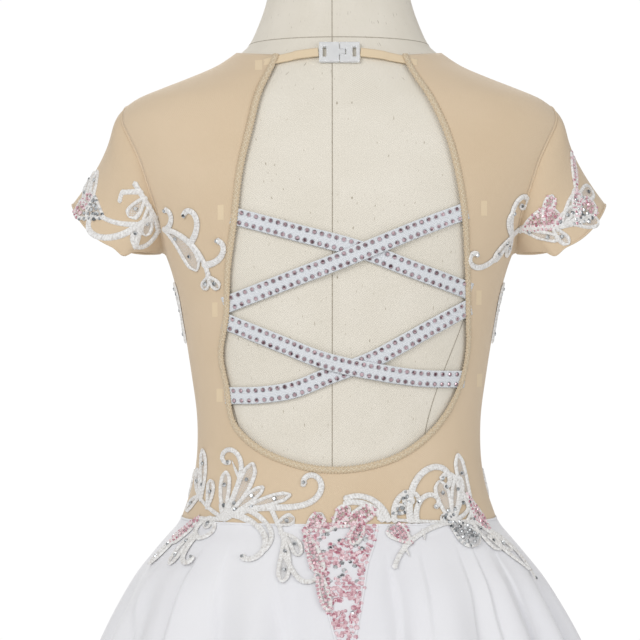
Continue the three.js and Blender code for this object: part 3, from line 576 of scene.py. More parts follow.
def sleeve_point(angle, run):
    hole_turn, hole_z = armhole_at(np.where(angle > 180, angle - 360, angle), ARMHOLE["ease"])
    start = lifted(body, hole_turn, hole_z, PANEL_LIFT + CLOTH / 2)
    sine, cosine = np.sin(np.radians(angle)), np.cos(np.radians(angle))
    high = np.clip((1 + cosine) / 2, 0, 1)
    fold = -5 * np.exp(-(((angle - 106) / 9) ** 2))
    hem = np.stack([
        SLEEVE_HEM["out"] + SLEEVE_HEM["swing"] * cosine,
        SLEEVE_HEM["deep"] * sine,
        SLEEVE_HEM["z"] + fold + SLEEVE_HEM["rise"] * high**3.2,
    ], axis=-1)
    rise, lean = high**1.2, high**1.5
    first = start + np.stack([blend(2, 16, rise), 5 * sine, blend(-1, -13, rise)], axis=-1)
    second = hem + np.stack([blend(-2, -42, lean), 0 * sine, blend(2, 54, lean)], axis=-1)
    t = np.asarray(run, float)[..., None] + 0 * hem[..., :1]
    return (1 - t) ** 3 * start + 3 * t * (1 - t) ** 2 * first + 3 * t * t * (1 - t) * second + t**3 * hem


def sleeve(angle, run, lift):
    inside = np.clip(run, 0.03, 0.97)
    along = sleeve_point(angle, inside + 0.03) - sleeve_point(angle, inside - 0.03)
    around = sleeve_point((angle + 361.5) % 360, inside) - sleeve_point((angle + 358.5) % 360, inside)
    return sleeve_point(angle, run) + unit(np.cross(along, around)) * np.asarray(lift)[..., None]


def mirrored(place, side):
    return place * (side, 1, 1)


for side, word in ((1, "left"), (-1, "right")):
    cap_sleeve = bmesh.new()

    def sleeve_at(across, along, side=side):
        place = mirrored(sleeve(across * 360 % 360, along, 0.5), side)
        return place, np.stack([across * 380, along * 70], axis=-1)

    spread(cap_sleeve, 160, 40, sleeve_at, middle=(side * 189, 0))
    bmesh.ops.remove_doubles(cap_sleeve, verts=cap_sleeve.verts, dist=1e-5)
    piece = settle(f"cap_sleeve_{word}", cap_sleeve, skin_mesh, "mesh", f"sleeve_{word}")
    thickened(piece, VISIBLE_CLOTH)

    piping = bmesh.new()
    angle = np.linspace(0, 360, 361)
    hole_turn, hole_z = armhole_at(np.where(angle > 180, angle - 360, angle), 0.8)
    cord(piping, mirrored(lifted(body, hole_turn, hole_z, 2.1), side), 1.25, 240, closed=True)
    edge = mirrored(sleeve_point(angle % 360, 1.0), side)
    cord(piping, edge + (0, 0, 0.6), 0.9, 240, closed=True)
    bmesh.ops.recalc_face_normals(piping, faces=piping.faces)
    settle(f"armhole_seam_{word}", piping, skin_mesh, "mesh")

# The edge of the open back: picot elastic, folded over the raw edge of the mesh and held by
# a zigzag stitch, with a row of tiny loops along both sides.
EDGE = {"wide": 5.6, "loop": 0.9, "loops": 330, "knot_pitch": 3.1, "knot": 0.4, "thick": 0.6}
ZIGZAG, THREAD = 0.0022, 0.00045


def binding_finish():
    finish, tree, shader = finish_of("picot_elastic", tone(226, 205, 166), 0.92, Sheen_Weight=0.3)
    cloth = laid_flat(tree)
    beside, along = measures(tree, cloth)
    zig = maths(tree, "SUBTRACT", maths(tree, "PINGPONG", along, ZIGZAG), ZIGZAG / 2)
    near = maths(tree, "ABSOLUTE", maths(tree, "SUBTRACT", beside, zig))
    stitch = maths(tree, "LESS_THAN", near, THREAD)
    fuzz = mottled(tree, cloth, 800.0, 4.0)
    ground = shaded(tree, fuzz, tone(196, 172, 140), tone(234, 218, 190))
    painted(tree, shader, stitch, ground, tone(236, 221, 194))
    bumped(tree, shader, maths(tree, "ADD", stitch, fuzz), 0.0005, 0.8)
    return finish


def on_back(points, count=400):
    """A line given as x and height on the back, as turns and heights on the body."""
    flat = path_of(points, count)
    return np.stack([turn_at_x(body_size, flat[:, 0], flat[:, 1]), flat[:, 1]], axis=-1)


picot = binding_finish()
binding = bmesh.new()
edge_line = on_back(OPENING_LEFT + OPENING_RIGHT[-2::-1], 700)
strip(binding, body, edge_line, 1500,
      lambda s: EDGE["wide"] + EDGE["loop"] * np.sin(s * EDGE["loops"] * 2 * math.pi),
      PANEL_FACE + CLEAR + 0.3, arch=0.8, columns=12, knots=(EDGE["knot_pitch"], EDGE["knot"]))
piece = settle("opening_edge", binding, picot, "binding", "keyhole_binding")
thickened(piece, EDGE["thick"])

# The ends of the crossed straps and of the neck strap: folded elastic, tacked inside the mesh
# and pale through it, so laid on its face here. Columns: x, height, width, how tall.
STRAP_ENDS = [
    (96, 1236, 5, 12), (101, 1157, 4.5, 12), (97.5, 1086, 5, 11), (-113.5, 1167, 4.5, 12),
    (66, 1357, 6, 9), (-117, 1240, 5, 12), (-115, 1098, 4.5, 11),
]
tabs = bmesh.new()
for x, z, wide, tall in STRAP_ENDS:
    def tab_at(across, along, x=x, z=z, wide=wide, tall=tall):
        height = z + (along - 0.5) * tall
        turn = turn_at_x(body_size, x + (across - 0.5) * wide, height)
        return lifted(body, turn, height, PANEL_FACE + 0.06), np.stack([turn, height], axis=-1)

    spread(tabs, 3, 6, tab_at)

# The crossed straps of the open back: white elastic with two rows of foiled stones, each in
# a claw setting, sewn in under the edge of the mesh on both sides.
STRAP = {"wide": 14, "thick": 1.2, "wall": 1, "row": 4.1, "stone": 1.75, "pitch": 6.2, "hidden": 3,
         "bare": 4.5}
# The points of each, and where it crosses over: x, half its level run, the end, the height.
STRAPS = {
    "upper_a": ([(96, 1235.6), (84.5, 1232.5), (35, 1219), (-16, 1205.4), (-60, 1189), (-101, 1174),
                 (-114, 1169)], (0, 1, 2, 0)),
    "upper_b": ([(104, 1156.2), (90, 1161.6), (40, 1181), (-16, 1203), (-60, 1221), (-99, 1236),
                 (-112, 1241)], (-15, 27, 46, 1.6)),
    "lower_a": ([(102, 1151), (88.6, 1145.5), (51.7, 1130.4), (10.7, 1114.9), (-30, 1106),
                 (-65.4, 1100.5), (-99, 1099.3), (-112, 1099)], (-9, 30, 50, 1.6)),
    "lower_b": ([(104, 1085.4), (88.3, 1085.8), (65.2, 1086.6), (38, 1091), (10.8, 1101.8),
                 (-30, 1117.5), (-50, 1128.3), (-75.1, 1142.5), (-102, 1157), (-114, 1163)], (0, 1, 2, 0)),
}
edge_x = {side: track(np.array([(z, x) for x, z in rows[::-1]]), 1) for side, rows in
          ((1, OPENING_LEFT), (-1, OPENING_RIGHT))}


def strap_line(points):
    """The line of a strap, and the shares of it that lie in the opening."""
    line = on_back(points)
    x, z = body(line[:, 0], line[:, 1])[:, 0], line[:, 1]
    more = STRAP["hidden"]
    inside = np.nonzero((x < edge_x[1](z) + more) & (x > edge_x[-1](z) - more))[0]
    return line, (inside[0] / (len(line) - 1), inside[-1] / (len(line) - 1))


def raised(line, over):
    x_over, flat, end, lift = over

    def read(share):
        spot = along_line(line, share)
        away = np.abs(body(spot[:, 0], spot[:, 1])[:, 0] - x_over)
        near = np.clip((end - away) / (end - flat), 0, 1)
        return lift * near * near * (3 - 2 * near)

    return read


def elastic_finish():
    finish, tree, shader = finish_of("white_elastic", tone(238, 235, 233), 0.85, Sheen_Weight=0.2)
    cloth = laid_flat(tree)
    ribs = maths(tree, "SINE", maths(tree, "MULTIPLY", measures(tree, cloth)[0], 5200.0))
    fuzz = mottled(tree, cloth, 900.0, 2.0)
    painted(tree, shader, fuzz, tone(224, 229, 236), tone(250, 252, 254))
    bumped(tree, shader, maths(tree, "ADD", ribs, fuzz), 0.0003, 0.6)
    return finish


GLINT_SIZE, STONE_TALL, CLAW_TALL = 0.0021, 0.55, 0.3


def crystal_finish(name, light, dark, metallic):
    """A cut stone, backed with foil, with painted glints: small cells coloured light or dark at random, a
    painted reflection in place of light caught by the facets, differing from stone to stone.
    """
    finish, tree, shader = finish_of(name, light, 0.12, Specular_IOR_Level=0.8, Coat_Weight=0.6,
                                     Metallic=metallic)
    where = put(tree, "ShaderNodeTexCoord").outputs["Object"]
    glint_cell = put(tree, "ShaderNodeVectorMath", {"operation": "SNAP"}, i0=where, i1=(GLINT_SIZE, GLINT_SIZE, GLINT_SIZE))
    painted_glint = put(tree, "ShaderNodeTexWhiteNoise", Vector=glint_cell.outputs[0]).outputs["Value"]
    # Painted glints: each small cell is light or dark at random, standing in for reflections.
    painted(tree, shader, maths(tree, "POWER", painted_glint, 1.2), light, dark)
    return finish


def seated(place, normal, along, radius):
    """Where a stone sits: its middle, with its table facing out."""
    side = np.cross(normal, along)
    turn = Matrix((along, side, normal)).transposed().to_4x4()
    return Matrix.Translation(Vector(place * 0.001)) @ turn @ Matrix.Scale(radius / 1000, 4)


def add_stone(net, place, normal, along, radius, sides=8):
    """A cut stone with a flat table, wide girdle and a row of facets."""
    matrix = seated(place + normal * radius * STONE_TALL / 2, normal, along, radius)
    bmesh.ops.create_cone(net, cap_ends=True, segments=sides, radius1=1, radius2=0.55,
                          depth=STONE_TALL, matrix=matrix)


def add_setting(net, place, normal, along, radius, sides=10):
    matrix = seated(place + normal * radius * 0.1, normal, along, radius)
    bmesh.ops.create_cone(net, cap_ends=True, segments=sides, radius1=1.22, radius2=1.1,
                          depth=CLAW_TALL, matrix=matrix)


def length_of(line):
    return np.linalg.norm(np.diff(body(line[:, 0], line[:, 1]), axis=0), axis=1).sum()


elastic = elastic_finish()
folded = finish_of("folded_elastic", tone(234, 213, 180), 0.85, Sheen_Weight=0.2)[0]
settle("strap_ends", tabs, folded, "strap")
# The strap stones and their claw settings carry painted glints, light and dark cells in place of
# reflections.
mauve = crystal_finish("mauve_stone", tone(226, 196, 204), tone(84, 42, 54), 0.45)
silver = crystal_finish("silver_claw", tone(222, 222, 226), tone(180, 180, 186), 0.8)
strap_stones, strap_claws = bmesh.new(), bmesh.new()
for word, (points, over) in STRAPS.items():
    line, reach = strap_line(points)
    lift = raised(line, over)
    band = bmesh.new()
    strip(band, body, line, 120, STRAP["wide"],
          lambda s, lift=lift: PANEL_LIFT + lift(s) + STRAP["thick"], columns=8, reach=reach)
    piece = settle(f"strap_{word}", band, elastic, "strap", f"back_strap_{word}")
    thickened(piece, STRAP["wall"])
    length = length_of(line) * (reach[1] - reach[0])
    x, z = body(line[:, 0], line[:, 1])[:, 0], line[:, 1]
    bare = STRAP["bare"]
    seen = np.nonzero((x < edge_x[1](z) - bare) & (x > edge_x[-1](z) + bare))[0] / (len(line) - 1)
    stones = length * (seen[-1] - seen[0]) / (reach[1] - reach[0]) / STRAP["pitch"]
    share = np.linspace(seen[0], seen[-1], round(stones))
    for row in (-STRAP["row"], STRAP["row"]):
        spot = along_line(line, share)
        ahead = along_line(line, share + 0.004)
        turn, z = spot[:, 0], spot[:, 1]
        normal = outward(body, turn, z)
        forward = unit(body(ahead[:, 0], ahead[:, 1]) - body(turn, z))
        beside = unit(np.cross(forward, normal))
        top = PANEL_LIFT + STRAP["thick"] + lift(share)
        place = body(turn, z) + beside * row + normal * (top + 0.15)[:, None]
        for p, n, f in zip(place, normal, forward):
            along = unit(f - n * np.dot(f, n))
            add_setting(strap_claws, p, n, along, STRAP["stone"])
            add_stone(strap_stones, p + n * CLAW_TALL, n, along, STRAP["stone"])
settle("strap_stones", strap_stones, mauve, "strap", smooth=False)
settle("strap_settings", strap_claws, silver, "strap", smooth=False)

# The neck straps, of skin-coloured elastic folded in half and doubled back at the clasp, and
# the clasp: two moulded plates of clear plastic, the tongue of one hooked into the other.
NECK_STRAPS = {
    "left": [(62, 1359.4), (51, 1361.8), (35, 1365), (17.15, 1367.3)],
    "right": [(-17.15, 1367.3), (-35, 1365), (-53, 1361.8), (-64, 1359.4)],
}
NECK_BAND = {"wide": 8.5, "doubled": 0.8, "from": 0.55, "sharp": 60}
for word, points in NECK_STRAPS.items():
    line = on_back(points)
    neck_band = bmesh.new()

    def doubled(share, word=word):
        toward = share if word == "left" else 1 - share
        step = 1 / (1 + np.exp((NECK_BAND["from"] - toward) * NECK_BAND["sharp"]))
        return PANEL_LIFT + STRAP["thick"] + NECK_BAND["doubled"] * step

    strip(neck_band, body, line, 60, NECK_BAND["wide"], doubled, columns=6)
    piece = settle(f"neck_band_{word}", neck_band, folded, "binding", f"neck_strap_{word}")
    thickened(piece, STRAP["wall"])
    length = length_of(line)


def clear_plastic():
    finish, tree, shader = finish_of("clear_plastic", tone(252, 253, 254), 0.16,
                                     Transmission_Weight=0.3, IOR=1.3)
    where = put(tree, "ShaderNodeTexCoord").outputs["Object"]
    bumped(tree, shader, mottled(tree, where, 300.0, 2.0), 0.0002, 0.3)
    return finish


clear = clear_plastic()
CLASP = {"z": 1367.5, "half": 16.8, "tall": 20, "thick": 2.4, "slot": 3, "slot_tall": 10.5, "bar": 3,
         "tongue": 5, "hook": 5}
clasp_normal = outward(body, np.array([0.0]), np.array([CLASP["z"]]))[0]
clasp_place = lifted(body, np.array([0.0]), np.array([CLASP["z"]]), np.array([PANEL_LIFT - 0.3]))[0]
clasp_turn = Matrix(((1, 0, 0), tuple(np.cross(clasp_normal, (1, 0, 0))), tuple(clasp_normal))).transposed()
to_clasp = Matrix.Translation(Vector(clasp_place * 0.001)) @ clasp_turn.to_4x4() @ Matrix.Scale(0.001, 4)


def clasp_plate(word, side):
    """One plate: a rounded slab with a slot for its strap, and the hook or its hollow."""
    gap, thick = CLEAR / 2, CLASP["thick"]
    half, tall = CLASP["half"], CLASP["tall"] / 2
    slot_x = half - CLASP["bar"] - CLASP["slot"]
    low = CLASP["slot_tall"] / 2
    parts = [
        (gap, slot_x, -tall, tall), (slot_x, half - CLASP["bar"], low, tall),
        (slot_x, half - CLASP["bar"], -tall, -low), (half - CLASP["bar"], half, -tall, tall),
    ]
    notch = CLASP["tongue"] / 2
    if side > 0:
        parts.append((gap - CLASP["hook"], gap, -notch, notch))
    else:
        reach = gap + CLASP["hook"] + CLEAR
        parts[0] = (reach, slot_x, -tall, tall)
        parts += [(gap, reach, notch + CLEAR, tall), (gap, reach, -tall, -notch - CLEAR)]
    net = bmesh.new()
    for x0, x1, y0, y1 in parts:
        made = bmesh.ops.create_cube(net, size=1)["verts"]
        bmesh.ops.scale(net, vec=(x1 - x0, y1 - y0, thick), verts=made)
        middle = (side * (x0 + x1) / 2, (y0 + y1) / 2, thick / 2)
        bmesh.ops.translate(net, vec=middle, verts=made)
    return net


for word, side in (("left", 1), ("right", -1)):
    net = clasp_plate(word, side)
    bmesh.ops.transform(net, matrix=to_clasp, verts=net.verts)
    plate = settle(f"clasp_plate_{word}", net, clear, "clasp", f"clasp_{word}", smooth=False)
    joined = plate.modifiers.new("joined", "REMESH")
    joined.mode, joined.voxel_size = "VOXEL", 0.0003
    eased = plate.modifiers.new("eased", "SMOOTH")
    eased.iterations, eased.factor = 4, 0.6

# The skirt: white chiffon gathered into the dropped waist seam and left to fall in deep folds
# to the calf, cut in a back and a front with seams at the sides.
SKIRT = np.array([
    (360, 350, 314, 316, 2.05, 17),
    (500, 323, 285, 287, 2.05, 16),
    (600, 296, 256, 258, 2.05, 15),
    (700, 264, 222, 224, 2.1, 14),
    (800, 227, 182, 185, 2.15, 12),
    (876, 194, 148, 152, 2.2, 8.5),
    (900, 184, 136, 141, 2.2, 6),
    (930, 169, 121, 126, 2.25, 2.6),
    (950, 154.5, 107, 113, 2.25, 1.1),
    (964, 143, 97, 103.5, 2.3, 0.4),
    (972, 136, 90, 98.5, 2.3, 0.1),
    (980, 131, 84, 95, 2.3, 0),
])
INSERT = np.array([
    (866, 0.1, -4), (870, 1.4, -4), (891, 6.8, -3.7), (918, 13.5, -3),
    (936, 17, -2.7), (951, 20, -2.5), (964, 25, -2), (980, 29, -1.5),
])
FOLDS, FOLD_TURN, HEM, INSERT_TIP = 18, -171, 360, 870
SKIRT_TOP = WAIST - 0.5
SKIRT_DEGREE = 5
CALM = {"from": 700, "to": 860, "turn": 11, "most": 0.8}
skirt_size = sizes_of(SKIRT)
insert_half, insert_middle = sizes_of(INSERT)


def fold_at(turn, z):
    lap = turn + 7 * np.sin(np.radians(2 * turn + 40)) + 4 * np.sin(np.radians(5 * turn))
    wave = np.cos(np.radians(FOLDS * lap + FOLD_TURN))
    uneven = 1 + 0.3 * np.sin(np.radians(3 * turn + 25))
    near = np.clip((z - CALM["from"]) / (CALM["to"] - CALM["from"]), 0, 1)
    calm = 1 - CALM["most"] * near * near * (3 - 2 * near) * np.exp(-((turn / CALM["turn"]) ** 2))
    return skirt_size[4](z) * wave * uneven * calm


def skirt(turn, z):
    place = section(skirt_size, turn, z)
    depth = np.where(place[..., 1] > 0, skirt_size[1](z), skirt_size[2](z))
    out = np.stack([place[..., 0] / skirt_size[0](z) ** 2, place[..., 1] / depth**2, 0 * depth], axis=-1)
    return place + unit(out) * fold_at(turn, z)[..., None]


def cloth(turn, z):
    return np.where((z >= WAIST)[..., None], body(turn, z), skirt(turn, z))


def insert_edge(side, z, clear):
    return insert_middle(z) + side * np.maximum(insert_half(z) + clear, 0.3)


def top_at(turn):
    """The height at which the skirt starts: the waist seam, or the edge of the insert."""
    low, high = np.full_like(turn, INSERT_TIP - 4), np.full_like(turn, SKIRT_TOP)
    side = np.where(turn < turn_at_x(skirt_size, -4.0, low), -1, 1)

    def inside(z):
        return side * (section(skirt_size, turn, z)[..., 0] - insert_edge(side, z, 0)) < 0

    open_at_top = inside(high)
    for _ in range(40):
        middle = (low + high) / 2
        within = inside(middle)
        low, high = np.where(within, low, middle), np.where(within, middle, high)
    return np.where(open_at_top, low, SKIRT_TOP)


def chiffon_finish():
    finish, tree, shader = finish_of("white_chiffon", tone(240, 240, 244), 0.85, Sheen_Weight=0.4)
    height, flat = woven(tree, 1500.0)
    painted(tree, shader, mottled(tree, flat, 6.0, 2.0), tone(236, 236, 241), tone(247, 247, 249))
    bumped(tree, shader, height, 0.0002, 0.3)
    return finish


chiffon = chiffon_finish()
# Sharp folds where the gathers start: x and height down the line, depth, and the steep side.
# ARC is a degree's length for each mm of half width; LOW is where the folds begin to open.
ARC, LOW = 0.0165, 886
PRESSED = [
    ([(110, 962), (127.5, 933), (140, 886)], 4.5, -1),
    ([(142, 950), (163, 923), (172, 886)], 3.5, -1),
    ([(86, 965), (93.5, 948), (101.7, 886)], 3, 1),
    ([(60, 955), (55, 929), (45.5, 886)], 3.5, -1),
    ([(-33, 966), (-36, 955), (-45, 911), (-45, 886)], 5, -1),
    ([(-64, 968), (-70, 940), (-78, 886)], 3, 1),
    ([(-93, 966), (-100, 950), (-114, 886)], 3, 1),
    ([(-104, 968), (-109.6, 958), (-127, 911), (-134.5, 886)], 4.5, 1),
    ([(-124, 960), (-132, 946), (-161.5, 886)], 4, -1),
]


def pressed_lines():
    """Every sharp fold as turns by height, those behind as listed and the rest in between."""
    lines = []
    for points, deep, way in PRESSED:
        x, z = np.array(points, float).T
        turns = np.stack([z, turn_at_x(skirt_size, x, z)], axis=-1)[::-1]
        lines.append((track(turns, 1), z[0], deep, way))
    for k in range(17):
        turn = 96 + k * 10.6 + 3 * math.sin(k * 2.3)
        steady = track(np.array([(876.0, turn), (970.0, turn - 2 * math.sin(k))]), 1)
        lines.append((steady, 962.0, 3 + 1.5 * math.sin(k * 1.7), 1 if k % 2 else -1))
    return lines


pressed = pressed_lines()


def chiffon_at(turn, z):
    """The skirt's outer face, with its sharp folds pressed in a little."""
    sink = 0 * turn
    for line, top, deep, way in pressed:
        arc = ((turn - line(z) + 180) % 360 - 180) * skirt_size[0](z) * ARC
        steep, gentle = (2.5, 13) if way > 0 else (13, 2.5)
        width = np.where(arc > 0, steep, gentle) * (1 + np.clip((LOW - z) / 400, 0, 1.3))
        start = np.clip((top - z) / 40, 0, 1)
        pressed_in = deep * start * np.exp(-((arc / width) ** 2))
        sink = np.maximum(sink, pressed_in * (1 + np.clip((LOW - z) / 500, 0, 1)))
    edge = np.abs(turn) * skirt_size[0](z) * ARC - np.maximum(insert_half(z) + 4, 0)
    calm = 1 - np.exp(-((np.maximum(edge, 0) / 7) ** 2)) * np.clip((z - INSERT_TIP + 110) / 100, 0, 1)
    return lifted(cloth, turn, z, PANEL_FACE - 0.9 * sink * calm)


def skirt_back_at(across, along):
    turn = blend(-SIDE, SIDE, across)
    z = blend(top_at(turn), HEM, along**1.5)
    return chiffon_at(turn, z), np.stack([turn * SKIRT_DEGREE, z], axis=-1)


def skirt_front_at(across, along):
    turn = blend(180 - SIDE, 180 + SIDE, across)
    z = blend(SKIRT_TOP, HEM, along**1.5)
    return chiffon_at(turn, z), np.stack([turn * SKIRT_DEGREE, z], axis=-1)


for word, skirt_at in (("back", skirt_back_at), ("front", skirt_front_at)):
    half_skirt = bmesh.new()
    spread(half_skirt, 520, 90, skirt_at)
    piece = settle(f"chiffon_{word}", half_skirt, chiffon, "chiffon", f"skirt_{word}")
    thickened(piece, VISIBLE_CLOTH)

# The pointed insert behind: net set into the waist seam and the cut edges of the skirt below
# it, which strips of seam cover. Its stones are sewn on last, with the lace.
point_net = bmesh.new()


def insert_at(across, along):
    z = blend(INSERT_TIP, SKIRT_TOP, along)
    x = blend(insert_edge(-1, z, -0.05), insert_edge(1, z, -0.05), across)
    return lifted(cloth, turn_at_x(skirt_size, x, z), z, PANEL_FACE), np.stack([x, z], axis=-1)


spread(point_net, 40, 70, insert_at)
piece = thickened(settle("insert_net", point_net, chiffon, "insert", "waist_point"), VISIBLE_CLOTH)
seam_net = bmesh.new()
around = np.linspace(-180, 180, 400)
heights = np.linspace(INSERT_TIP, SKIRT_TOP, 60)
seam_lines = [(around, np.full_like(around, SKIRT_TOP + 0.4), 500)]
for side in (-1, 1):
    seam_lines.append((turn_at_x(skirt_size, insert_edge(side, heights, 0.2), heights), heights, 160))
for turns, rise, steps in seam_lines:
    strip(seam_net, cloth, np.stack([turns, rise], axis=-1), steps, 1.8, PANEL_FACE + 0.3, arch=0.5)
settle("waist_seam", seam_net, chiffon, "chiffon")

# The lace: white cord and satin stitch on fine net, cut out and sewn on by hand, with stones.
# A row is the stroke it starts on, the share of that, its first direction (0 to the wearer's
# right, 90 up), length, even bend in degrees, curl towards its end, width and kind.
WAIST_BACK_LEFT = {
    "arch": ("hub", 0, 33, 120, -104, 395, 5.4, "scroll"),
    "long": ("arch", 0.12, 27, 50, -14, 0, 8, "leaf"),
    "spear": ("hub", 0, 43, 45, -4, 0, 8, "leaf"),
    "tall": ("hub", 0, 58, 55, 16, 0, 12, "leaf"),
    "spiral": ("hub", 0, 76, 90, -20, 385, 4.6, "scroll"),
    "horn": ("spiral", 0.42, 122, 20, -6, 0, 4, "thorn"),
    "left": ("hub", 0, 104, 43, -16, 0, 10, "leaf"),
    "spur": ("hub", 0, 133, 17, -20, 0, 4, "thorn"),
    "branch": ("hub", 0, 160, 40, -14, 0, 3.6, "scroll"),
    "side": ("branch", 0.9, 99, 46, 6, 0, 10, "leaf"),
    "side_low": ("branch", 0.6, 82, 26, 26, 0, 8, "leaf"),
    "side_out": ("branch", 1, 132, 30, -20, 0, 9, "leaf"),
    "hip": ("branch", 1, 210, 26, 14, 0, 9, "leaf"),
    "reach": ("hub", 0, 186, 30, -6, 0, 4, "scroll"),
    "pink": ("reach", 1, 236, 36, 4, 0, 12, "rose"),
    "oval": ("reach", 0.55, 165, 60, 345, 0, 4.6, "scroll"),
    "eye": ("reach", 0.55, 258, 13, 0, 0, 7, "leaf"),
    "knot": ("oval", 0.5, 256, 42, 30, 250, 5, "scroll"),
    "knot_leaf": ("oval", 0.42, 246, 36, 20, 0, 10, "leaf"),
    "outer": ("pink", 0.8, 240, 36, 8, 0, 9, "leaf"),
    "fall": ("arch", 0.09, -6, 78, -96, -150, 5.4, "scroll"),
    "bow": ("arch", 0.2, -16, 54, -80, -50, 4.4, "scroll"),
    "stalk": ("arch", 0.36, -60, 36, -12, 0, 4, "scroll"),
    "bloom": ("stalk", 0.5, 24, 17, 0, 0, 10, "leaf"),
    "petal": ("stalk", 1, -78, 42, -30, 0, 10, "leaf"),
    "petal_side": ("stalk", 0.8, -20, 30, -70, 0, 9, "leaf"),
    "tail": ("petal", 0.4, -72, 46, 30, 150, 4.4, "scroll"),
}
WAIST_BACK_RIGHT = {
    "base": ("hub", 0, 176, 66, 0, 0, 3, "scroll"),
    "arch": ("base", 0.86, 100, 48, 104, 10, 5, "scroll"),
    "arch_low": ("base", 0.93, 112, 40, 88, 10, 5.2, "scroll"),
    "lesser": ("base", 0.78, 106, 46, -112, -130, 4.6, "scroll"),
    "petal": ("lesser", 0.62, 290, 14, 0, 0, 9, "silver"),
    "petal_low": ("lesser", 0.2, 20, 13, 0, 0, 8, "silver"),
    "great": ("base", 0.58, 100, 88, -92, -200, 5.6, "scroll"),
    "inner": ("base", 0.5, 104, 48, -116, -200, 4.6, "scroll"),
    "heart_left": ("hub", 0, 103, 39, -2, 0, 13, "leaf"),
    "heart_right": ("hub", 0, 52, 60, 40, 190, 5, "scroll"),
    "heart_tip": ("hub", 0, 66, 44, 10, 0, 12, "leaf"),
    "bud": ("hub", 0, 76, 15, 0, 0, 7, "leaf"),
    "silver": ("hub", 0, -56, 32, 0, 0, 22, "silver"),
    "cap": ("hub", 0, 150, 14, 0, 0, 8, "silver"),
    "curl": ("hub", 0, 28, 38, -24, 310, 3.8, "scroll"),
    "branch": ("hub", 0, -2, 26, 0, 0, 4.6, "scroll"),
    "eye": ("branch", 0.7, 18, 15, 0, 0, 11, "leaf"),
    "drop": ("branch", 0.9, -62, 36, -6, 0, 15, "leaf"),
    "side": ("branch", 1, 97, 62, 2, 0, 11, "leaf"),
    "side_pink": ("side", 0.42, -64, 40, -4, 0, 11, "rose"),
    "stem": ("hub", 0, 186, 78, 62, 0, 4.6, "scroll"),
    "under": ("stem", 0.2, 196, 36, 26, 0, 3.6, "scroll"),
    "thorn_a": ("stem", 0.4, 262, 12, 0, 0, 3.6, "thorn"),
    "thorn_b": ("stem", 0.7, 290, 12, 0, 0, 3.6, "thorn"),
    "pink": ("stem", 0.62, 128, 25, 0, 0, 17, "rose"),
    "trail": ("drop", 0.7, -50, 44, -6, 0, 3, "scroll"),
    "hip": ("drop", 0.6, -26, 28, -20, 0, 10, "leaf"),
    "trail_out": ("side_pink", 1, -46, 66, -22, -130, 3.6, "scroll"),
}
WAIST_FRONT = {
    "arch": ("hub", 0, 14, 84, -8, 220, 5, "scroll"),
    "tall": ("hub", 0, 66, 50, -8, 0, 10, "leaf"),
    "spear": ("hub", 0, 40, 40, -4, 0, 8, "leaf"),
    "crook": ("hub", 0, 104, 58, -6, -250, 5, "scroll"),
    "side": ("hub", 0, 128, 34, 6, 0, 9, "leaf"),
    "reach": ("hub", 0, 178, 30, 10, 0, 4, "scroll"),
    "pink": ("reach", 0.6, 214, 26, 0, 0, 12, "rose"),
    "fall": ("hub", 0, -74, 48, 0, -180, 5, "scroll"),
    "low": ("hub", 0, -40, 42, 0, 0, 9, "leaf"),
    "drop": ("hub", 0, -112, 38, 0, 0, 9, "leaf"),
}
SHOULDER_LEFT = {
    "stem": ("hub", 0, -4, 66, -82, 0, 5, "scroll"),
    "fork_in": ("stem", 1, -126, 15, 0, 0, 7, "leaf"),
    "fork_out": ("stem", 1, -46, 16, 0, 0, 8, "leaf"),
    "upper": ("hub", 0, 8, 30, 76, 150, 5, "scroll"),
    "middle": ("stem", 0.5, 36, 44, 80, 185, 5.4, "scroll"),
    "outer": ("stem", 0.84, -2, 38, 80, 130, 5.4, "scroll"),
    "leaf": ("hub", 0, -30, 50, -44, 0, 17, "leaf"),
}
SHOULDER_RIGHT = {
    "stem": ("hub", 0, 234, 32, 0, 0, 8, "leaf"),
    "outer": ("stem", 0.8, 228, 50, -66, -260, 5, "scroll"),
    "upper": ("hub", 0, 150, 30, -30, -150, 4.4, "scroll"),
    "spiral": ("hub", 0, 140, 66, -110, -330, 5, "scroll"),
    "leaf": ("hub", 0, 282, 22, 0, 0, 8, "leaf"),
    "join": ("hub", 0, 40, 24, 0, 0, 5, "scroll"),
}
SLEEVE_LEFT = {
    "stem": ("hub", 0, 98, 50, 34, 0, 5, "scroll"),
    "branch": ("stem", 0.8, 71, 19, 0, 0, 4.6, "scroll"),
    "bud": ("stem", 0.66, 20, 22, 0, 0, 11, "leaf"),
    "drop": ("stem", 0.5, -22, 27, 0, 0, 11, "leaf"),
    "low": ("hub", 0, -30, 44, 150, 120, 4.6, "scroll"),
    "ring": ("stem", 0.3, 40, 84, -10, 235, 5.6, "scroll"),
    "inner": ("ring", 0.2, 70, 38, 10, 20, 4.4, "scroll"),
    "leg": ("ring", 0.2, -14, 24, 0, 0, 6, "scroll"),
    "cluster": ("inner", 1, 92, 36, 0, 0, 25, "mixed"),
    "crown": ("cluster", 0.8, 136, 44, -10, 0, 10, "leaf"),
    "crown_in": ("cluster", 0.5, 150, 40, -10, 0, 9, "leaf"),
    "hook": ("cluster", 0.95, 246, 27, 92, 0, 4, "scroll"),
    "hook_low": ("branch", 0.9, 20, 12, -50, 0, 4, "scroll"),
}
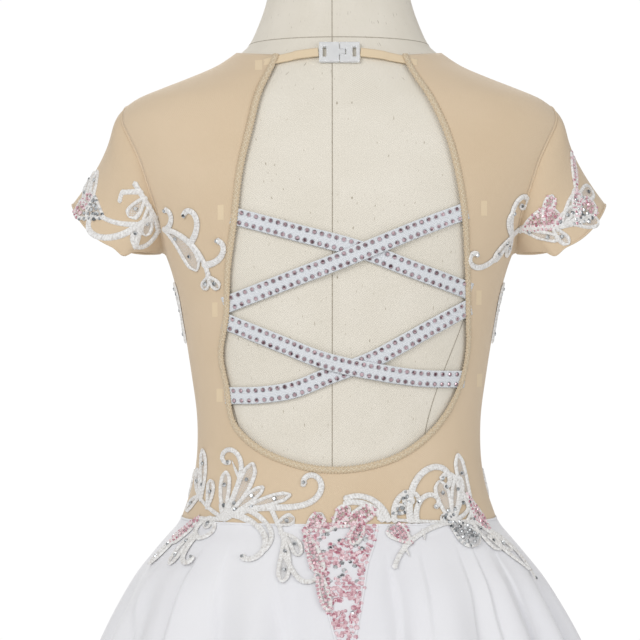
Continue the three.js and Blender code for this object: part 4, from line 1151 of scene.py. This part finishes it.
SLEEVE_RIGHT = {
    "stem": ("hub", 0, 66, 54, 10, 0, 5.4, "scroll"),
    "under": ("hub", 0, 48, 40, 10, 0, 7, "leaf"),
    "pink": ("stem", 0.16, 92, 36, -8, 0, 18, "rose"),
    "finger": ("pink", 0.6, 140, 24, 0, 0, 9, "rose"),
    "low": ("stem", 0.62, 14, 22, 0, 0, 8, "leaf"),
    "wing": ("stem", 0.6, 98, 34, 0, 0, 12, "leaf"),
    "rise": ("stem", 0.76, 130, 40, -22, 0, 12, "leaf"),
    "strip": ("stem", 1, 146, 34, 0, 0, 9, "rose"),
    "edge": ("stem", 0.96, 100, 36, 10, 0, 18, "mixed"),
    "edge_low": ("stem", 0.96, 62, 28, 14, 0, 12, "leaf"),
    "edge_top": ("strip", 0.6, 96, 34, 0, 0, 14, "leaf"),
    "crown": ("strip", 0.9, 150, 40, 6, 0, 8, "rose"),
}
SIDE_STRIP = {
    "stem": ("hub", 0, 84, 36, 8, 0, 8, "leaf"),
    "low": ("hub", 0, -96, 22, 0, 0, 7, "leaf"),
    "hook": ("stem", 0.4, 140, 24, 0, -150, 4, "scroll"),
    "hook_low": ("hub", 0, 220, 18, 0, 150, 3.6, "scroll"),
}
CORD_TALL, ROOT, PROBE, RELIEF = 1.8, 2.5, 0.25, 0.07


def walk(surface, start, head, length, bend, curl):
    """Steps along one stroke: where each is, and which way lies beside it."""
    steps = max(10, int(length / 1.5 + abs(curl) / 16))
    u, v = start
    spots = []
    for k in range(steps + 1):
        share = k / steps
        heading = math.radians(head + bend * share + curl * share**4)
        near = surface(u + np.array([PROBE, -PROBE, 0, 0]), v + np.array([0, 0, PROBE, -PROBE]), np.zeros(4))
        along_u, along_v = (near[0] - near[1]) * 2, (near[2] - near[3]) * 2
        first = unit(along_u)
        second = unit(along_v - first * np.dot(along_v, first))

        def step_in(direction):
            step_v = np.dot(direction, second) / np.dot(along_v, second)
            step_u = (np.dot(direction, first) - step_v * np.dot(along_v, first)) / np.linalg.norm(along_u)
            return np.array([step_u, step_v])

        step = step_in(first * math.cos(heading) + second * math.sin(heading))
        beside = step_in(second * math.cos(heading) - first * math.sin(heading))
        if k == 0:
            u, v = u - step[0] * ROOT, v - step[1] * ROOT
        spots.append((u, v, *beside))
        u, v = u + step[0] * length / steps, v + step[1] * length / steps
    return np.array(spots)


def leaf_half(share, wide):
    round_tip = np.sqrt(np.clip((1 - share) / 0.12, 0, 1))
    return 0.9 + wide / 2 * np.sin(math.pi * (0.1 + 0.82 * share) ** 1.7) ** 0.7 * round_tip


def lay(net, surface, spots, offset, half, tall, base, columns=6, groove=0.0, middle=(0, 0)):
    """A rounded cord along the walked spots: offset to one side, half its width, its height."""
    count = len(spots) - 1

    def at(across, along):
        spot = along_line(spots, along)
        flat = 2 * across - 1
        side = offset(along) + flat * half(along)
        dome = np.sqrt(np.maximum(1 - flat**2, 0)) - groove * np.exp(-((flat / 0.22) ** 2))
        bead = 0.22 * np.sin(along * count * 2.6 + 4 * flat) * np.abs(flat)
        dome *= 1 + bead + spread_seed.normal(0, RELIEF, len(along))
        lift = base(spot) + tall * dome * np.minimum(half(along) / 1.2, 1)
        place = surface(spot[:, 0] + side * spot[:, 2], spot[:, 1] + side * spot[:, 3], lift)
        return place, np.stack([flat * half(along), along * count * 1.5], axis=-1)

    spread(net, columns, count, at, middle=middle)


def tapered(wide, kind, length):
    """Half the width of a scroll or thorn along it, with a round knob at a scroll's end."""
    def read(share):
        if kind == "thorn":
            return np.maximum(wide / 2 * (1 - share) ** 0.7, 0.15)
        body_half = wide / 2 * (1.1 - 0.25 * share)
        knob = 0.34 * wide * np.exp(-(((share - 1) * length + 2.4) / 1.7) ** 2)
        ends = np.sqrt(np.clip((1 - share) * length / 1.6, 0, 1) * np.clip(share * length / 2 + 0.25, 0, 1))
        return np.maximum((body_half * 0.5 + np.maximum(body_half * 0.5, knob)) * ends, 0.12)
    return read


def lace_finish():
    finish, tree, shader = finish_of("white_cord", tone(243, 241, 238), 0.75, Sheen_Weight=0.35)
    flat = laid_flat(tree)
    beside, along = measures(tree, flat)
    fuzz = mottled(tree, flat, 380.0, 3.0)
    wound = maths(tree, "ADD", along, maths(tree, "MULTIPLY", beside, 0.5))
    turns = maths(tree, "SINE", maths(tree, "MULTIPLY", wound, 2300.0))
    satin = maths(tree, "MULTIPLY_ADD", turns, 0.5, 0.5)
    uneven = maths(tree, "MULTIPLY_ADD", fuzz, 2.2, -0.62)
    thread = maths(tree, "MULTIPLY_ADD", satin, 0.3, uneven, clamp=True)
    # The cord's colour follows the threads' height and is darker where they dip: painted shade in the gaps
    # between the threads.
    painted(tree, shader, thread, tone(216, 211, 206), tone(255, 255, 254))
    bumped(tree, shader, thread, 0.0007, 0.8)
    return finish


def net_finish():
    finish, tree, shader = finish_of("white_net", tone(244, 242, 240), 0.8, Alpha=0.35)
    thread = ranged(tree, woven(tree, 1100.0)[0], 0.35, 0.7, 0.12, 0.75)
    tree.links.new(thread, shader.inputs["Alpha"])
    return finish


white_cord, white_net = lace_finish(), net_finish()
# The pink and clear stones carry the same painted glints, light and dark cells in place of reflections.
pink = crystal_finish("pink_stone", tone(255, 232, 236), tone(186, 108, 128), 0.1)
clear_stone = crystal_finish("clear_stone", tone(235, 238, 240), tone(52, 58, 64), 0.55)
lace_stones = {"rose": bmesh.new(), "silver": bmesh.new()}
spread_seed = np.random.default_rng(7)


def stone_on(net, surface, u, v, lift, radius, sides=8):
    """A stone sewn on where u and v say, its table turned out and a little askew."""
    near = surface(u + np.array([0, PROBE, -PROBE, 0, 0]), v + np.array([0, 0, 0, PROBE, -PROBE]),
                   np.full(5, lift))
    along = unit(near[1] - near[2])
    up = unit(near[3] - near[4])
    normal = unit(np.cross(along, up))
    if np.dot(normal, surface(np.array([u]), np.array([v]), np.array([lift + 1.0]))[0] - near[0]) < 0:
        normal = -normal
    tilt = spread_seed.normal(0, 0.1, 3)
    normal = unit(normal + tilt)
    along = unit(along - normal * np.dot(along, normal))
    add_stone(net, near[0], normal, along, radius, sides)


def level(share):
    return 0 * share


LACE_STONE, SATIN_WIDE = 1.9, 3.4
STONE_SIZES = {"rose": (3.3, 1.3, 2.0), "silver": (4.3, 1.6, 2.2), "mixed": (4.3, 1.6, 2.2)}


def spray(name, node, surface, hub, strokes, base, middle=(0, 0)):
    """Walks every stroke of one spray of lace and lays its cords, net and stones."""
    walked, cords, fill = {}, bmesh.new(), bmesh.new()
    for word, (start, share, head, length, bend, curl, wide, kind) in strokes.items():
        begin = hub if start == "hub" else tuple(along_line(walked[start], np.array([share]))[0, :2])
        spots = walk(surface, begin, head, length, bend, curl)
        walked[word] = spots
        if kind in ("scroll", "thorn"):
            half = tapered(wide, kind, length)
            lay(cords, surface, spots, level, half, CORD_TALL, base, groove=0.3, middle=middle)
            if kind == "scroll" and abs(curl) > 100:
                u, v = along_line(spots, np.array([0.97]))[0, :2]
                stone_on(lace_stones["silver"], surface, u, v, base(spots[-1:])[0] + 1.3, LACE_STONE)
            continue
        edge = min(SATIN_WIDE, wide * 0.38)
        for side in (1, -1):
            lay(cords, surface, spots,
                lambda s, side=side: side * np.maximum(leaf_half(s, wide) - edge / 2, 0),
                lambda s: np.minimum(edge / 2, leaf_half(s, wide)), CORD_TALL * 0.9, base,
                groove=0.15, middle=middle)
        lay(fill, surface, spots, level, lambda s: np.maximum(leaf_half(s, wide) - 0.4, 0.3), 0.25,
            lambda spot: base(spot) + 0.1, columns=4, middle=middle)
        if kind == "leaf":
            for at_share in (0.32, 0.72) if length > 30 else (0.6,):
                u, v = along_line(spots, np.array([at_share]))[0, :2]
                stone_on(lace_stones["silver"], surface, u, v, base(spots[-1:])[0] + 1.0, LACE_STONE)
            continue
        pitch, smallest, largest = STONE_SIZES[kind]
        for along in np.arange(1.5, length - 1, pitch):
            s = along / length
            room = leaf_half(np.array([s]), wide)[0] - 1.2
            spot = along_line(spots, np.array([s]))[0]
            across = np.arange(-room, room + 0.1, pitch) if room > 1.6 else [0]
            for side in across:
                side += spread_seed.normal(0, 0.5)
                colour = "rose" if kind == "rose" or (kind == "mixed" and s > 0.55) else "silver"
                radius = spread_seed.uniform(smallest, largest)
                stone_on(lace_stones[colour], surface, spot[0] + side * spot[2], spot[1] + side * spot[3],
                         base(spots[-1:])[0] + 0.8, radius, 6)
    piece = settle(name, cords, white_cord, "lace", *([node] if node else []))
    settle(f"{name}_net", fill, white_net, "lace")
    return piece


def on_cloth(u, v, lift):
    return lifted(cloth, -np.asarray(u), np.asarray(v, float), lift)


def cloth_base(spot):
    return PANEL_FACE + 0.5 + np.maximum(WAIST + 4 - spot[:, 1], 0) * 0.02


def hub_at(x, z):
    return (float(-turn_at_x(skirt_size if z < WAIST else body_size, x, z)), z)


spray("lace_waist_left", "lace_waist_back_left", on_cloth, hub_at(93, 984), WAIST_BACK_LEFT, cloth_base)
spray("lace_waist_right", "lace_waist_back_right", on_cloth, hub_at(-91, 981), WAIST_BACK_RIGHT, cloth_base)
spray("lace_blade_left", "lace_shoulder_left", on_cloth, hub_at(142, 1224), SHOULDER_LEFT, cloth_base)
spray("lace_blade_right", "lace_shoulder_right", on_cloth, hub_at(-141, 1219), SHOULDER_RIGHT, cloth_base)
for side, word in ((1, "left"), (-1, "right")):
    def on_side(u, v, lift, side=side):
        return mirrored(on_cloth(u, v, lift), side)

    def on_sleeve(u, v, lift, side=side):
        return mirrored(sleeve((90 - np.asarray(v)) % 360, np.asarray(u) / 100, lift), side)

    spray(f"lace_hip_{word}", f"lace_waist_front_{word}", on_side, (-124, 984), WAIST_FRONT, cloth_base)
    spray(f"lace_rib_{word}", f"lace_side_{word}", on_side, (-83, 1148), SIDE_STRIP, cloth_base)
    spray(f"lace_cap_{word}", f"lace_sleeve_{word}", on_sleeve, (12, -42),
          SLEEVE_LEFT if side > 0 else SLEEVE_RIGHT, lambda spot: 0.6 + 0 * spot[:, 0],
          middle=(side * SLEEVE_HEM["out"], 0))

# The lace and the stones over the insert: two sprays of pink stones across its top, and rows
# of stones sewn close together below them, pink at its edges and in swirls, clear between.
INSERT_LEFT = {
    "top": ("hub", 0, 48, 25, 10, 0, 12, "rose"),
    "side": ("hub", 0, -66, 46, -8, 0, 11, "rose"),
    "side_low": ("side", 0.8, -78, 44, 0, 0, 8, "rose"),
}
INSERT_RIGHT = {
    "top": ("hub", 0, 16, 40, 24, 0, 13, "rose"),
    "high": ("hub", 0, 82, 24, -60, 0, 11, "rose"),
    "across": ("hub", 0, 200, 20, -40, 0, 11, "rose"),
    "side": ("top", 0.7, -104, 34, -8, 0, 11, "rose"),
}
spray("lace_point_left", None, on_cloth, hub_at(28, 974), INSERT_LEFT, cloth_base)
spray("lace_point_right", None, on_cloth, hub_at(4, 979), INSERT_RIGHT, cloth_base)
CLOSE = {"row": 3.0, "pitch": 3.3, "shift": 1.6, "edge": 5, "radius": (1.4, 2.5)}
for k, z in enumerate(np.arange(INSERT_TIP + 3, SKIRT_TOP - 1, CLOSE["row"])):
    left_x, right_x = insert_edge(1, z, -1), insert_edge(-1, z, -1)
    for x in np.arange(right_x, left_x, CLOSE["pitch"]) + (k % 2) * CLOSE["shift"]:
        x, height = x + spread_seed.normal(0, 0.8), z + spread_seed.normal(0, 0.8)
        near_edge = min(left_x - x, x - right_x) < CLOSE["edge"]
        swirl = math.sin(height * 0.23 + 0.16 * abs(x + 4))
        if swirl < -0.72 and not near_edge:
            continue
        colour = "rose" if near_edge or swirl > -0.1 or spread_seed.random() < 0.3 else "silver"
        u, v = hub_at(x, height)
        radius = spread_seed.uniform(*CLOSE["radius"])
        stone_on(lace_stones[colour], on_cloth, u, v, PANEL_FACE + 0.2, radius, 7)
settle("lace_pink_stones", lace_stones["rose"], pink, "insert", smooth=False)
settle("lace_clear_stones", lace_stones["silver"], clear_stone, "clasp", smooth=False)

# The studio: a pale floor, a soft key light from the left of the camera, a fill from the
# right, a third light beyond the dress and a bright even surround.
floor_net = bmesh.new()
bmesh.ops.create_grid(floor_net, x_segments=1, y_segments=1, size=6)
floor_finish = finish_of("pale_floor", (0.85, 0.85, 0.85), 0.7)[0]
floor_mesh = bpy.data.meshes.new("floor")
floor_net.to_mesh(floor_mesh)
floor_net.free()
floor_mesh.materials.append(floor_finish)
floor = bpy.data.objects.new("floor", floor_mesh)
floor.location.z = -0.001
bpy.context.collection.objects.link(floor)

world = bpy.data.worlds.new("studio")
bpy.context.scene.world = world
world.use_nodes = True
surround = world.node_tree
seen = put(surround, "ShaderNodeLightPath").outputs["Is Camera Ray"]
strength = maths(surround, "MULTIPLY_ADD", seen, 0.5, 0.52)
surround.links.new(strength, surround.nodes["Background"].inputs["Strength"])
surround.nodes["Background"].inputs["Color"].default_value = (1, 1, 1, 1)
LIGHTS = [
    ("key", (1.6, 2.6, 2.4), (0, 0, 1.1), 1.6, 34),
    ("fill", (-2.2, 2.2, 1.6), (0, 0, 1.1), 1.8, 16),
    ("back", (0.3, -2.4, 2.6), (0, 0, 1.1), 1.6, 34),
]
for name, place, aim, size, power in LIGHTS:
    lamp = bpy.data.lights.new(name, "AREA")
    lamp.size, lamp.energy = size, power
    light = bpy.data.objects.new(name, lamp)
    light.location = place
    light.rotation_euler = (Vector(aim) - Vector(place)).to_track_quat("-Z", "Y").to_euler()
    bpy.context.collection.objects.link(light)

view = bpy.data.cameras.new("camera")
view.lens, view.sensor_width = 132.0, 36
camera = bpy.data.objects.new("camera", view)
camera.location = (0.016, 1.995, 1.148)
camera.rotation_euler = (math.radians(90), 0, math.radians(180))
bpy.context.collection.objects.link(camera)
bpy.context.scene.camera = camera
bpy.context.scene.view_settings.view_transform = "Standard"
